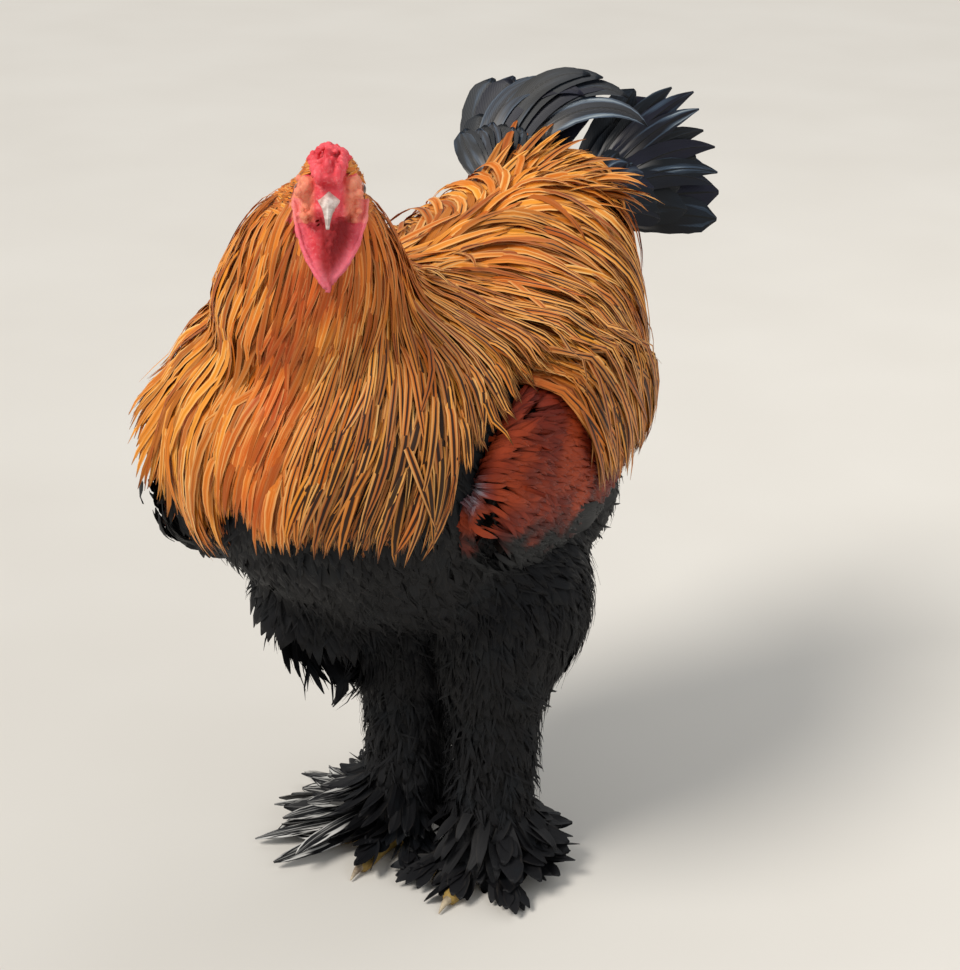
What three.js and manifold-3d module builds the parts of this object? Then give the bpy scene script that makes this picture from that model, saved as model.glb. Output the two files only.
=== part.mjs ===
// A life-size brahma cock, standing with its head turned to its left, as a still museum model.
// Millimetres, +Z up. The bird faces -Y and its own left is +X. Each mesh is one closed solid.
import * as THREE from "three";
import { mergeVertices } from "three/addons/utils/BufferGeometryUtils.js";
import Module from "manifold-3d";

const wasm = await Module();
wasm.setup();
const { Manifold, Mesh } = wasm;
const V = (x, y, z) => new THREE.Vector3(x, y, z);
const degrees = THREE.MathUtils.degToRad;
const mix = THREE.MathUtils.lerp;

// Driving sizes. Heights are above the floor.
const GAP = 0.35;
const BACK_HEIGHT = 545;
const BELLY_HEIGHT = 235;
const HOCK_HEIGHT = 165;
const HEAD_HEIGHT = 642;
const SHANK_RADIUS = 34;
const SOLE_THICKNESS = 7;
const HACKLE_DEPTH = 10;
const SHINGLE = degrees(6);

// Places that several sub-parts share.
const CHEST = V(-30, -85, 415);
const MIDDLE = V(-14, 20, BACK_HEIGHT - 135);
const RUMP = V(8, 115, 432);
const TAIL_ROOT = V(21, 219, 528);
const SKULL = V(22, -172, HEAD_HEIGHT);
const HEAD_TURN = degrees(29);
const HEAD_PITCH = degrees(-3);
const SIDES = [
  { name: "left", sign: 1, foot: V(64, -4, 0), hip: V(74, 22, 245), fan: 62 },
  { name: "right", sign: -1, foot: V(-28, 4, 0), hip: V(-62, -2, 248), fan: 134 },
];

// Plumage and skin colours.
const COLOURS = {
  hackle: [0xc8701a, 0.6],
  black: [0x15161b, 0.5],
  sheen: [0x1a2228, 0.35],
  bay: [0x7a2410, 0.6],
  skin: [0xc93a3a, 0.5],
  horn: [0xcfc4b4, 0.4],
  eye: [0xb4541c, 0.15],
  toe: [0xc9a24a, 0.55],
};

function finish(name) {
  const [color, roughness] = COLOURS[name];
  return new THREE.MeshStandardMaterial({ color, roughness, metalness: 0 });
}

// Rounded forms as distance functions: negative inside, in millimetres.
function ellipsoid(centre, radii, turn = V(0, 0, 0)) {
  const back = new THREE.Matrix4();
  back.makeRotationFromEuler(new THREE.Euler(turn.x, turn.y, turn.z, "ZYX"));
  back.setPosition(centre);
  back.invert();
  return (point) => {
    const p = point.clone().applyMatrix4(back);
    const near = p.clone().divide(radii);
    const slope = near.clone().divide(radii).length();
    const size = near.length();
    return slope > 1e-9 ? (size * (size - 1)) / slope : -Math.min(radii.x, radii.y, radii.z);
  };
}

function taper(from, to, radiusFrom, radiusTo) {
  const along = to.clone().sub(from);
  const lengthSquared = along.lengthSq();
  return (point) => {
    const offset = point.clone().sub(from);
    const share = THREE.MathUtils.clamp(offset.dot(along) / lengthSquared, 0, 1);
    return offset.addScaledVector(along, -share).length() - mix(radiusFrom, radiusTo, share);
  };
}

// Several forms as one, with creases filled over a width of reach.
function blend(reach, ...forms) {
  return (point) =>
    forms
      .map((form) => form(point))
      .reduce((a, b) => {
        const near = Math.max(reach - Math.abs(a - b), 0) / reach;
        return Math.min(a, b) - (near * near * reach) / 4;
      });
}

const grown = (form, by) => (point) => form(point) - by;

function normalOf(form, point) {
  const step = 0.8;
  const slope = (axis) =>
    form(point.clone().addScaledVector(axis, step)) - form(point.clone().addScaledVector(axis, -step));
  return V(slope(V(1, 0, 0)), slope(V(0, 1, 0)), slope(V(0, 0, 1))).normalize();
}

// Moves a point along the slope of a form until it lies at that height over the surface.
function settle(form, point, height) {
  const moved = point.clone();
  for (let i = 0; i < 5; i++) {
    moved.addScaledVector(normalOf(form, moved), height - form(moved));
  }
  return moved;
}

// Manifold-3d solids from three.js geometry and back.
function solidOf(geometry) {
  const bare = geometry.clone();
  for (const attribute of Object.keys(bare.attributes)) {
    if (attribute !== "position") bare.deleteAttribute(attribute);
  }
  const merged = mergeVertices(bare, 1e-4);
  const mesh = new Mesh({
    numProp: 3,
    vertProperties: new Float32Array(merged.attributes.position.array),
    triVerts: new Uint32Array(merged.index.array),
  });
  const solid = new Manifold(mesh);
  if (solid.volume() > 0) return solid;
  mesh.triVerts = mesh.triVerts.map((v, i, all) => all[i - (i % 3) + 2 - (i % 3)]);
  return new Manifold(mesh);
}

function geometryOf(solid) {
  const mesh = solid.getMesh();
  const geometry = new THREE.BufferGeometry();
  geometry.setAttribute("position", new THREE.BufferAttribute(mesh.vertProperties, 3));
  geometry.setIndex(new THREE.BufferAttribute(mesh.triVerts, 1));
  geometry.computeVertexNormals();
  return geometry;
}

// The largest closed surface of a solid, with slivers removed.
function largest(solid) {
  const bodies = solid.simplify(0.02).decompose();
  return bodies.reduce((a, b) => (b.volume() > a.volume() ? b : a));
}

const join = (solids) => Manifold.union(solids);
const cut = (solid, ...others) => others.reduce((rest, other) => rest.subtract(other), solid);

// A closed skin over a form: rays leave a spine, round caps at its ends, and stop at the surface.
function wrap(form, spine, { sides = 20, caps = 5, middles = 6, reach = 320 } = {}) {
  const curve = new THREE.CatmullRomCurve3(spine);
  const rays = [];
  for (let i = 1; i <= caps; i++) rays.push([0, Math.PI - ((i / caps) * Math.PI) / 2]);
  for (let i = 1; i <= middles; i++) rays.push([i / middles, Math.PI / 2]);
  for (let i = 1; i < caps; i++) rays.push([1, ((caps - i) / caps) * (Math.PI / 2)]);
  const hit = (share, lean, turn) => {
    const from = curve.getPointAt(share);
    const along = curve.getTangentAt(share);
    const across = V(0, 0, 1).cross(along);
    if (across.length() < 0.6) across.copy(V(1, 0, 0).cross(along).cross(along).negate().cross(along));
    across.normalize();
    const over = along.clone().cross(across);
    const way = along.clone().multiplyScalar(Math.cos(lean));
    way.addScaledVector(across, Math.sin(lean) * Math.cos(turn));
    way.addScaledVector(over, Math.sin(lean) * Math.sin(turn));
    let inside = 0;
    let outside = reach;
    for (let i = 0; i < 26; i++) {
      const half = (inside + outside) / 2;
      if (form(from.clone().addScaledVector(way, half)) < 0) inside = half;
      else outside = half;
    }
    return from.addScaledVector(way, inside);
  };
  const points = [hit(0, Math.PI, 0)];
  for (const [share, lean] of rays) {
    for (let k = 0; k < sides; k++) points.push(hit(share, lean, (k / sides) * Math.PI * 2));
  }
  points.push(hit(1, 0, 0));
  const faces = [];
  const ring = (row, k) => 1 + row * sides + (k % sides);
  for (let k = 0; k < sides; k++) {
    faces.push(0, ring(0, k + 1), ring(0, k));
    for (let row = 0; row < rays.length - 1; row++) {
      const [a, b, c, d] = [ring(row, k), ring(row, k + 1), ring(row + 1, k + 1), ring(row + 1, k)];
      faces.push(a, b, c, a, c, d);
    }
    faces.push(points.length - 1, ring(rays.length - 1, k), ring(rays.length - 1, k + 1));
  }
  const geometry = new THREE.BufferGeometry().setFromPoints(points);
  geometry.setIndex(faces);
  return solidOf(geometry);
}

// The outline of the plumage, as blended forms.
const torsoForm = blend(
  45,
  ellipsoid(CHEST, V(140, 125, 132)),
  ellipsoid(MIDDLE, V(146, 150, 132)),
  ellipsoid(RUMP, V(112, 122, 115)),
  ellipsoid(V(10, 105, BELLY_HEIGHT + 80), V(104, 112, 92)),
  ellipsoid(V(-18, -5, BELLY_HEIGHT + 75), V(112, 118, 80)),
  ellipsoid(V(15, 168, 505), V(72, 72, 62), V(degrees(25), 0, 0)),
);
const neckForm = blend(
  40,
  taper(V(-30, -92, 465), V(-22, -128, 545), 98, 72),
  taper(V(-22, -128, 545), V(-4, -146, 600), 72, 46),
  taper(V(-4, -146, 600), V(8, -154, HEAD_HEIGHT - 10), 46, 28),
);
// Under the hackle lies a narrower neck, which widens into a thin cape over the shoulders.
const CAPE = { centre: V(-28, -92, 490), radii: V(122, 112, 96), depth: 6 };
const capeBall = ellipsoid(CAPE.centre, CAPE.radii);
const neckCore = (point) =>
  Math.min(neckForm(point) + HACKLE_DEPTH, Math.max(capeBall(point), torsoForm(point) - CAPE.depth));
const tailForm = ellipsoid(V(-3, 212, 529), V(62, 52, 38), V(degrees(40), 0, degrees(-6)));

// The head's own frame: x forward along the beak, y to the bird's left, z up.
const headFrame = new THREE.Matrix4();
headFrame.makeRotationFromEuler(new THREE.Euler(0, HEAD_PITCH, HEAD_TURN - Math.PI / 2, "ZYX"));
headFrame.setPosition(SKULL);
const onHead = (x, y, z) => V(x, y, z).applyMatrix4(headFrame);
const headBall = (x, y, z, rx, ry, rz) => {
  const inHead = ellipsoid(V(x, y, z), V(rx, ry, rz));
  const back = headFrame.clone().invert();
  return (point) => inHead(point.clone().applyMatrix4(back));
};
const EYE = { x: 7, y: 19.5, z: 3, radius: 6 };
const headForm = blend(
  9,
  headBall(-4, 0, 0, 29, 21.5, 23),
  headBall(15, 0, -5, 13, 12, 12),
  ...[-1, 1].flatMap((side) => [
    headBall(9, side * 15, 10, 13, 7, 6),
    headBall(-2, side * 15, -10, 15, 8, 10),
    headBall(-15, side * 20, -13, 6, 4, 11),
    headBall(EYE.x, side * 17, EYE.z, 10, 5, 9),
  ]),
);

const round = {
  torso: (by) =>
    wrap(grown(torsoForm, by), [V(-26, -80, 405), V(-10, 20, 395), V(10, 120, 400)], {
      sides: 22,
      caps: 5,
      middles: 5,
    }),
  head: (by) => {
    const spine = [onHead(-8, 0, -2), onHead(8, 0, -2)];
    return wrap(grown(headForm, by), spine, { sides: 18, caps: 6, middles: 2, reach: 90 });
  },
  neck: (by) => {
    const spine = [V(-28, -95, 480), V(-20, -130, 545), V(-2, -148, 600), V(6, -152, HEAD_HEIGHT - 22)];
    return wrap(grown(neckCore, by), spine, { sides: 14, caps: 4, middles: 4 });
  },
};

// Wings: a flat oval held against the body's side. The right one hangs lower, with its tip down.
function wingSeat(side) {
  const left = side.sign > 0;
  const centre = left ? V(MIDDLE.x + 134, -6, 395) : V(MIDDLE.x - 158, -26, 345);
  const turn = left ? V(degrees(4), degrees(8), degrees(-4)) : V(degrees(-12), degrees(-7), degrees(-6));
  return { centre, form: ellipsoid(centre, V(20, 122, 74), turn), droop: left ? 0.08 : 0.5 };
}

// Legs: a feathered thigh, a feathered shank and the toes.
const thighForm = (side) =>
  blend(
    30,
    ellipsoid(side.hip, V(62, 76, 78)),
    taper(side.hip, V(side.foot.x, side.foot.y + 12, HOCK_HEIGHT + 22), 54, SHANK_RADIUS + 10),
  );
const TOES = [
  { name: "middle", angle: 0, length: 74, radius: 9 },
  { name: "inner", angle: -38, length: 56, radius: 8 },
  { name: "outer", angle: 40, length: 58, radius: 8 },
  { name: "hind", angle: 168, length: 36, radius: 8 },
];
function toeEnds(side, toe) {
  const heading = degrees(toe.angle) * side.sign;
  const way = V(Math.sin(heading), -Math.cos(heading), 0);
  const hub = side.foot.clone().setZ(SOLE_THICKNESS + 3);
  const tip = hub.clone().addScaledVector(way, toe.length);
  return { way, hub, tip: tip.setZ(SOLE_THICKNESS - 1) };
}
function foot(side, by) {
  const hub = side.foot.clone().setZ(20);
  const lumps = TOES.map((toe) => {
    const ends = toeEnds(side, toe);
    const form = taper(ends.hub, ends.tip, toe.radius + 2 + by, toe.radius - 1 + by);
    return wrap(form, [ends.hub, ends.tip], { sides: 8, caps: 2, middles: 2 });
  });
  const palm = ellipsoid(hub, V(21 + by, 23 + by, 22 + by));
  lumps.push(wrap(palm, [hub, hub.clone().add(V(0, 0, 2))], { sides: 8, caps: 2, middles: 1 }));
  const floor = new THREE.BoxGeometry(900, 900, 100);
  floor.translate(0, 0, -50);
  return lumps.map((lump) => cut(lump, solidOf(floor)));
}
function claw(side, toe, by) {
  const { way, tip } = toeEnds(side, toe);
  const from = tip.clone().addScaledVector(way, toe.radius - 4);
  const to = tip.clone().addScaledVector(way, toe.radius + 13).setZ(2.6);
  return wrap(taper(from, to, 4.2 + by, 1.2 + by), [from, to], { sides: 6, caps: 2, middles: 2 });
}

// Each piece is joined from its solids and cut clear of the pieces placed before it, grown by the gap.
const parts = new THREE.Group();
const placed = [];
function place(name, make, colour) {
  const solid = largest(cut(join(make(0)), ...placed));
  placed.push(join(make(GAP)));
  const mesh = new THREE.Mesh(geometryOf(solid), finish(colour));
  mesh.name = name;
  parts.add(mesh);
}

// One flat feather. Each station is {point, side, normal, width, thickness}, from root to tip.
function vane(stations, by = 0) {
  const points = [];
  for (const { point, side, normal, width, thickness } of stations) {
    for (const [across, over] of [[-1, 1], [1, 1], [1, -1], [-1, -1]]) {
      const corner = point.clone().addScaledVector(side, across * (width / 2 + by));
      points.push(corner.addScaledVector(normal, over * (thickness / 2 + by)));
    }
  }
  const faces = [0, 2, 1, 0, 3, 2];
  for (let row = 0; row < stations.length - 1; row++) {
    for (let k = 0; k < 4; k++) {
      const [a, b] = [row * 4 + k, row * 4 + ((k + 1) % 4)];
      const [c, d] = [b + 4, a + 4];
      faces.push(...(k === 2 ? [a, b, d, b, c, d] : [a, b, c, a, c, d]));
    }
  }
  const last = points.length - 4;
  faces.push(last, last + 1, last + 2, last, last + 2, last + 3);
  const geometry = new THREE.BufferGeometry().setFromPoints(points);
  geometry.setIndex(faces);
  return solidOf(geometry);
}

// Breadth along a feather, root to tip: a lance for hackles, a paddle for tail and wing.
const LANCE = [0.5, 0.85, 1, 0.82, 0.3];
const PADDLE = [0.35, 0.76, 1, 0.96, 0.4];
function breadth(shape, share) {
  const at = share * (shape.length - 1);
  const low = Math.min(Math.floor(at), shape.length - 2);
  return mix(shape[low], shape[low + 1], at - low);
}

// A free feather. It bends within its own blade towards its side, and curls out of it.
function plume({ root, heading, side, length, width, bend = 0, curl = 0, roll = 0, steps = 4, by = 0 }) {
  const stations = [];
  const point = root.clone();
  const along = heading.clone().normalize();
  const across = side.clone().projectOnPlane(along).normalize().applyAxisAngle(along, roll);
  for (let i = 0; i <= steps; i++) {
    const share = i / steps;
    const normal = along.clone().cross(across);
    stations.push({
      point: point.clone(),
      side: across.clone(),
      normal,
      width: width * breadth(PADDLE, share),
      thickness: mix(1.5, 0.7, share),
    });
    point.addScaledVector(along, length / steps);
    for (const direction of [along, across]) {
      direction.applyAxisAngle(normal, (bend * (0.5 + share)) / steps);
    }
    along.applyAxisAngle(across, (curl * (0.5 + share)) / steps);
  }
  return vane(stations, by);
}

// Heights over the form along a feather, from its root's to its tip's.
const lifts = (root, rise) => [root, 0.36 * rise, 0.66 * rise, 0.88 * rise, rise];

// A feather that lies along a form: its root is sunk, it follows a flow and rises by its lifts.
function laid({ form, root, flow, length, width, lift, roll = SHINGLE, shape = LANCE, steps = 4, by = 0 }) {
  const stations = [];
  let point = settle(form, root, lift[0]);
  for (let i = 0; i <= steps; i++) {
    const share = i / steps;
    const normal = normalOf(form, point);
    const along = flow(point).projectOnPlane(normal).normalize();
    const side = along.clone().cross(normal).applyAxisAngle(along, roll);
    stations.push({
      point: point.clone(),
      side,
      normal: side.clone().cross(along),
      width: width * breadth(shape, share),
      thickness: mix(1.2, 0.6, share),
    });
    for (let hop = 1; hop <= 3 && i < steps; hop++) {
      const onward = flow(point).projectOnPlane(normalOf(form, point)).normalize();
      const ahead = point.clone().addScaledVector(onward, length / steps / 3);
      point = settle(form, ahead, breadth(lift, (i + hop / 3) / steps));
    }
  }
  return vane(stations, by);
}

// The head: skull with brows, cheeks, ear lobes and lids, and its comb, bill, wattles and eyes.
const eyeAt = (side) => onHead(EYE.x, side.sign * EYE.y, EYE.z);
const ball = (centre, radius, sides = 14) => {
  const geometry = new THREE.SphereGeometry(radius, sides, sides - 4);
  return solidOf(geometry.translate(centre.x, centre.y, centre.z));
};
function lid(side) {
  const geometry = new THREE.TorusGeometry(EYE.radius - 0.2, 1.5, 5, 12);
  geometry.rotateX(Math.PI / 2);
  geometry.scale(1.1, 1, 0.82);
  geometry.translate(EYE.x, side.sign * (EYE.y + 1.6), EYE.z);
  return solidOf(geometry.applyMatrix4(headFrame));
}
function head(by) {
  const solids = [round.head(by), ...SIDES.map(lid)];
  const sockets = by ? [] : SIDES.map((side) => ball(eyeAt(side), EYE.radius + GAP));
  return solids.map((solid) => cut(solid, ...sockets));
}
// The bill leaves the face, bends down along its ridge and ends in a point.
const BILL = { root: 18, length: 33, width: 19, height: 12, bend: degrees(40) };
function bill(scale, drop, by) {
  const stations = 6;
  const points = [];
  const sides = 8;
  for (let i = 0; i <= stations; i++) {
    const share = i / stations;
    const turn = BILL.bend * share ** 1.5 * (drop ? 0.5 : 1);
    const reach = BILL.root + BILL.length * scale * share;
    const width = (BILL.width / 2) * (1 - share ** 1.6 * 0.9) + by;
    const tall = (BILL.height / 2) * (1 - share ** 1.8 * 0.88) * (drop ? 0.42 : 1) + by;
    for (let k = 0; k < sides; k++) {
      const angle = (k / sides) * Math.PI * 2;
      const height = Math.sin(angle) * tall * (Math.sin(angle) < 0 ? 0.62 : 1);
      const fall = (BILL.length * scale * share * Math.tan(turn)) / 2.6 + drop;
      points.push(onHead(reach + height * Math.sin(turn), Math.cos(angle) * width, height - fall - 1));
    }
  }
  const faces = [];
  for (let row = 0; row < stations; row++) {
    for (let k = 0; k < sides; k++) {
      const [a, b] = [row * sides + k, row * sides + ((k + 1) % sides)];
      faces.push(a, b, b + sides, a, b + sides, a + sides);
    }
  }
  for (let k = 1; k < sides - 1; k++) {
    faces.push(0, k + 1, k);
    faces.push(stations * sides, stations * sides + k, stations * sides + k + 1);
  }
  const geometry = new THREE.BufferGeometry().setFromPoints(points);
  geometry.setIndex(faces);
  return solidOf(geometry);
}
function nostril(side) {
  const hole = new THREE.SphereGeometry(1, 8, 6);
  hole.scale(3.2, 2, 1.1);
  hole.rotateY(degrees(14));
  hole.translate(BILL.root + 12, side.sign * 7.1, 1.2);
  return solidOf(hole.applyMatrix4(headFrame));
}
// The pea comb: three rows of small knobs on one low ridge, the middle row the highest.
function comb(by) {
  const knobs = [];
  for (const row of [-1, 0, 1]) {
    for (let i = 0; i < 5; i++) {
      const share = i / 4;
      const swell = Math.sin(Math.PI * (0.18 + 0.72 * share));
      const geometry = new THREE.SphereGeometry(1, 6, 4);
      geometry.scale(6.6 + by, 4.8 + by, (row ? 6 + 2 * swell : 8 + 4 * swell) + by);
      const lean = row * (4.5 + 6.5 * swell);
      geometry.translate(mix(25, -17, share), lean, 15 + 12 * swell - Math.abs(row) * 4);
      knobs.push(solidOf(geometry.applyMatrix4(headFrame)));
    }
  }
  const ridge = new THREE.SphereGeometry(1, 12, 6);
  ridge.scale(27 + by, 12.5 + by, 12 + by);
  ridge.translate(4, 0, 18);
  knobs.push(solidOf(ridge.applyMatrix4(headFrame)));
  return knobs;
}
// A wattle is a cupped fold from the bill's corner back to the ear lobe, and hangs over the hackle.
const WATTLE = { height: 52, lean: 20, thickness: 3.6, columns: 5, rows: 6 };
function wattle(side, by = 0) {
  const front = [];
  const back = [];
  for (let row = 0; row <= WATTLE.rows; row++) {
    const down = row / WATTLE.rows;
    const span = Math.max(0.18, Math.cos((down * Math.PI) / 2) ** 0.62);
    for (let column = 0; column <= WATTLE.columns; column++) {
      const across = column / WATTLE.columns;
      const outward = mix(1.2, 27, across * span) + by * (2 * across - 1);
      const cup = 5 * Math.sin(Math.PI * across) * Math.sin(Math.PI * Math.min(down + 0.15, 1));
      const rim = 3 * across ** 3 * Math.sin(Math.PI * down);
      const forward = mix(19, 2, across * span) - cup + rim + WATTLE.lean * down;
      const height = -9 - WATTLE.height * down + 6 * across * (1 - down) + by * (1 - 2 * down);
      const thick = WATTLE.thickness * (row === WATTLE.rows ? 0.5 : 1) + 6 * by;
      front.push(onHead(forward + thick / 2, side.sign * outward, height));
      back.push(onHead(forward - thick / 2, side.sign * outward, height));
    }
  }
  const points = [...front, ...back];
  const wide = WATTLE.columns + 1;
  const faces = [];
  const quad = (a, b, c, d) => faces.push(a, b, c, a, c, d);
  for (let row = 0; row < WATTLE.rows; row++) {
    for (let column = 0; column < WATTLE.columns; column++) {
      const a = row * wide + column;
      const [b, c, d] = [a + 1, a + wide + 1, a + wide];
      quad(a, b, c, d);
      faces.push(...[a, c, b, a, d, c].map((v) => v + front.length));
    }
    const [left, right] = [row * wide, row * wide + WATTLE.columns];
    quad(left, left + wide, left + wide + front.length, left + front.length);
    quad(right, right + front.length, right + wide + front.length, right + wide);
  }
  for (let column = 0; column < WATTLE.columns; column++) {
    const low = WATTLE.rows * wide + column;
    quad(column + 1, column, column + front.length, column + 1 + front.length);
    quad(low, low + 1, low + 1 + front.length, low + front.length);
  }
  const geometry = new THREE.BufferGeometry().setFromPoints(points);
  geometry.setIndex(faces);
  return solidOf(geometry);
}


// The hackle: tiers of lance feathers round the neck, streaming away from the head.
const CROWN = SKULL.clone().add(V(-16, 30, 30));
const wings = SIDES.map(wingSeat);
const mantleForm = blend(
  12,
  grown(neckForm, -HACKLE_DEPTH),
  torsoForm,
  ...wings.map(({ form }) => grown(form, 8)),
);
const hackleFlow = (point) => {
  const away = point.clone().sub(CROWN).normalize();
  return away.add(V(0, 0, -0.55));
};
const HACKLE_TIERS = [
  { share: 0.9, count: 8, length: 88, width: 26, root: -7, rise: 17 },
  { share: 0.68, count: 10, length: 110, width: 35, root: -7, rise: 19 },
  { share: 0.42, count: 12, length: 128, width: 43, root: -7, rise: 20 },
  { share: 0.1, count: 15, length: 140, width: 49, root: 2, rise: 11 },
];
const neckLine = new THREE.CatmullRomCurve3([
  V(-26, -85, 490),
  V(-22, -125, 545),
  V(-4, -146, 600),
  V(8, -154, 630),
]);
function hackle(by) {
  const vanes = [];
  HACKLE_TIERS.forEach(({ share, count, length, width, root: low, rise }, tier) => {
    const from = neckLine.getPointAt(share);
    const along = neckLine.getTangentAt(share);
    const across = V(1, 0, 0).projectOnPlane(along).normalize();
    for (let i = 0; i < count; i++) {
      const turn = ((i + (tier % 2) / 2) / count) * Math.PI * 2;
      const out = across.clone().applyAxisAngle(along, turn);
      const root = from.clone().addScaledVector(out, 60);
      const lift = lifts(low, rise);
      vanes.push(laid({ form: mantleForm, root, flow: hackleFlow, length, width, lift, by }));
    }
  });
  return vanes;
}

// The wing: an oval with a row of coverts over a row of secondaries, stacked like shingles.
const WING_ROWS = [
  { count: 3, from: V(16, 16, 28), step: V(0, 8, -27), length: 84, width: 38, lift: [-4, 4, 7, 8] },
  { count: 5, from: V(16, 46, 38), step: V(0, 4, -22), length: 104, width: 29, lift: [-4, 1.5, 2.6, 3] },
];
function wing(side, seat, by) {
  const { centre, form, droop } = seat;
  const over = blend(6, grown(torsoForm, 1.5), form);
  const spine = [centre.clone().add(V(0, -50, 0)), centre.clone().add(V(0, 50, 0))];
  const core = wrap(grown(form, by), spine, { sides: 12, caps: 3, middles: 3 });
  const vanes = WING_ROWS.flatMap(({ count, from, step, length, width, lift }) =>
    Array.from({ length: count }, (_, i) => {
      const place = from.clone().addScaledVector(step, i);
      const root = centre.clone().add(V(side.sign * place.x, place.y, place.z));
      const flow = () => V(0, 1, -droop - 0.06 * i);
      const roll = -side.sign * 1.5 * SHINGLE;
      const sizes = { length: length - 4 * i, width, lift, roll, shape: PADDLE, steps: 3 };
      return laid({ form: over, root, flow, ...sizes, by });
    }),
  );
  return [core, ...vanes];
}

// The saddle: a thin pad on the back with lance feathers that stream back and fall down the sides.
const SADDLE = { centre: V(8, 92, 545), radii: V(108, 128, 92), depth: 6 };
const SADDLE_ROWS = [
  { lean: 18, from: 60, count: 4, length: 104, width: 38, rise: 25 },
  { lean: 46, from: 34, count: 4, length: 140, width: 41, rise: 19 },
  { lean: 78, from: 4, count: 5, length: 172, width: 39, rise: 9 },
];
const saddleBall = ellipsoid(SADDLE.centre, SADDLE.radii);
const drapeForm = blend(12, torsoForm, tailForm, ...wings.map(({ form }) => grown(form, 9)));
const saddleFlow = (point) => V((0.9 * (point.x - SADDLE.centre.x)) / 90, 0.6, -0.95);
function saddle(by) {
  const pad = (point) => Math.max(saddleBall(point), torsoForm(point) - SADDLE.depth) - by;
  const vanes = [];
  SADDLE_ROWS.forEach(({ lean, from, count, length, width, rise }, row) => {
    for (let i = 0; i < count; i++) {
      for (const hand of [-1, 1]) {
        const root = V(SADDLE.centre.x + hand * lean, mix(from, 200, (i + 0.5 * (row % 2)) / count), 560);
        const roll = hand * 1.3 * SHINGLE;
        vanes.push(
          laid({ form: drapeForm, root, flow: saddleFlow, length, width, lift: lifts(3, rise), roll, by }),
        );
      }
    }
  });
  const core = wrap(pad, [V(8, 70, 500), V(10, 130, 500)], { sides: 14, caps: 4, middles: 3 });
  return [core, ...vanes];
}

// The tail: each half is a flat stack of broad feathers, coverts over its base and sickles on top.
// A heading is rise and swing in degrees. Shares run from the half's top heading to its lowest.
const TAIL_HALVES = [
  {
    hand: 1,
    seat: V(0, 0, 0),
    top: [46, 10],
    low: [-6, 30],
    rows: [
      { count: 6, shares: [0, 1], length: [130, 146], width: 46, bend: [0.2, 0.2], out: 3 },
      { count: 3, shares: [0.25, 0.9], length: [90, 98], width: 40, bend: [0.3, 0.3], out: 14 },
      { count: 3, shares: [0.05, 0.45], length: [150, 150], width: 30, bend: [0.7, 0.7], out: 20 },
    ],
  },
  {
    hand: -1,
    seat: V(-52, -14, 2),
    top: [50, 22],
    low: [38, -66],
    rows: [
      { count: 6, shares: [0, 1], length: [116, 114], width: 40, bend: [-0.5, -1.2], out: 3 },
      { count: 3, shares: [0.15, 0.85], length: [78, 78], width: 36, bend: [-0.4, -0.7], out: 14 },
      { count: 3, shares: [0.3, 0.75], length: [165, 160], width: 26, bend: [-2.3, -2.5], out: 20 },
    ],
  },
];
function headingOf([rise, swing]) {
  const [up, aside] = [degrees(rise), degrees(swing)];
  return V(Math.sin(aside) * Math.cos(up), Math.cos(aside) * Math.cos(up), Math.sin(up));
}
function tail(by) {
  const spine = [V(-24, 206, 529), V(22, 218, 536)];
  const core = wrap(grown(tailForm, by), spine, { sides: 12, caps: 3, middles: 2 });
  const plumes = TAIL_HALVES.flatMap(({ hand, seat, top, low, rows }) => {
    const [first, last] = [headingOf(top), headingOf(low)];
    const axis = first.clone().cross(last).normalize();
    const span = first.angleTo(last);
    return rows.flatMap(({ count, shares, length, width, bend, out }) =>
      Array.from({ length: count }, (_, i) => {
        const heading = first.clone().applyAxisAngle(axis, span * mix(...shares, i / (count - 1)));
        const side = axis.clone().cross(heading);
        const arc = mix(...bend, i / (count - 1));
        const root = TAIL_ROOT.clone().add(seat).addScaledVector(heading, 12);
        root.addScaledVector(axis, -hand * (out + 1.9 * i));
        return plume({
          root,
          heading,
          side,
          length: mix(...length, i / (count - 1)),
          width,
          bend: arc,
          steps: Math.abs(arc) > 1.5 ? 7 : 4,
          by,
        });
      }),
    );
  });
  return [core, ...plumes];
}

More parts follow.
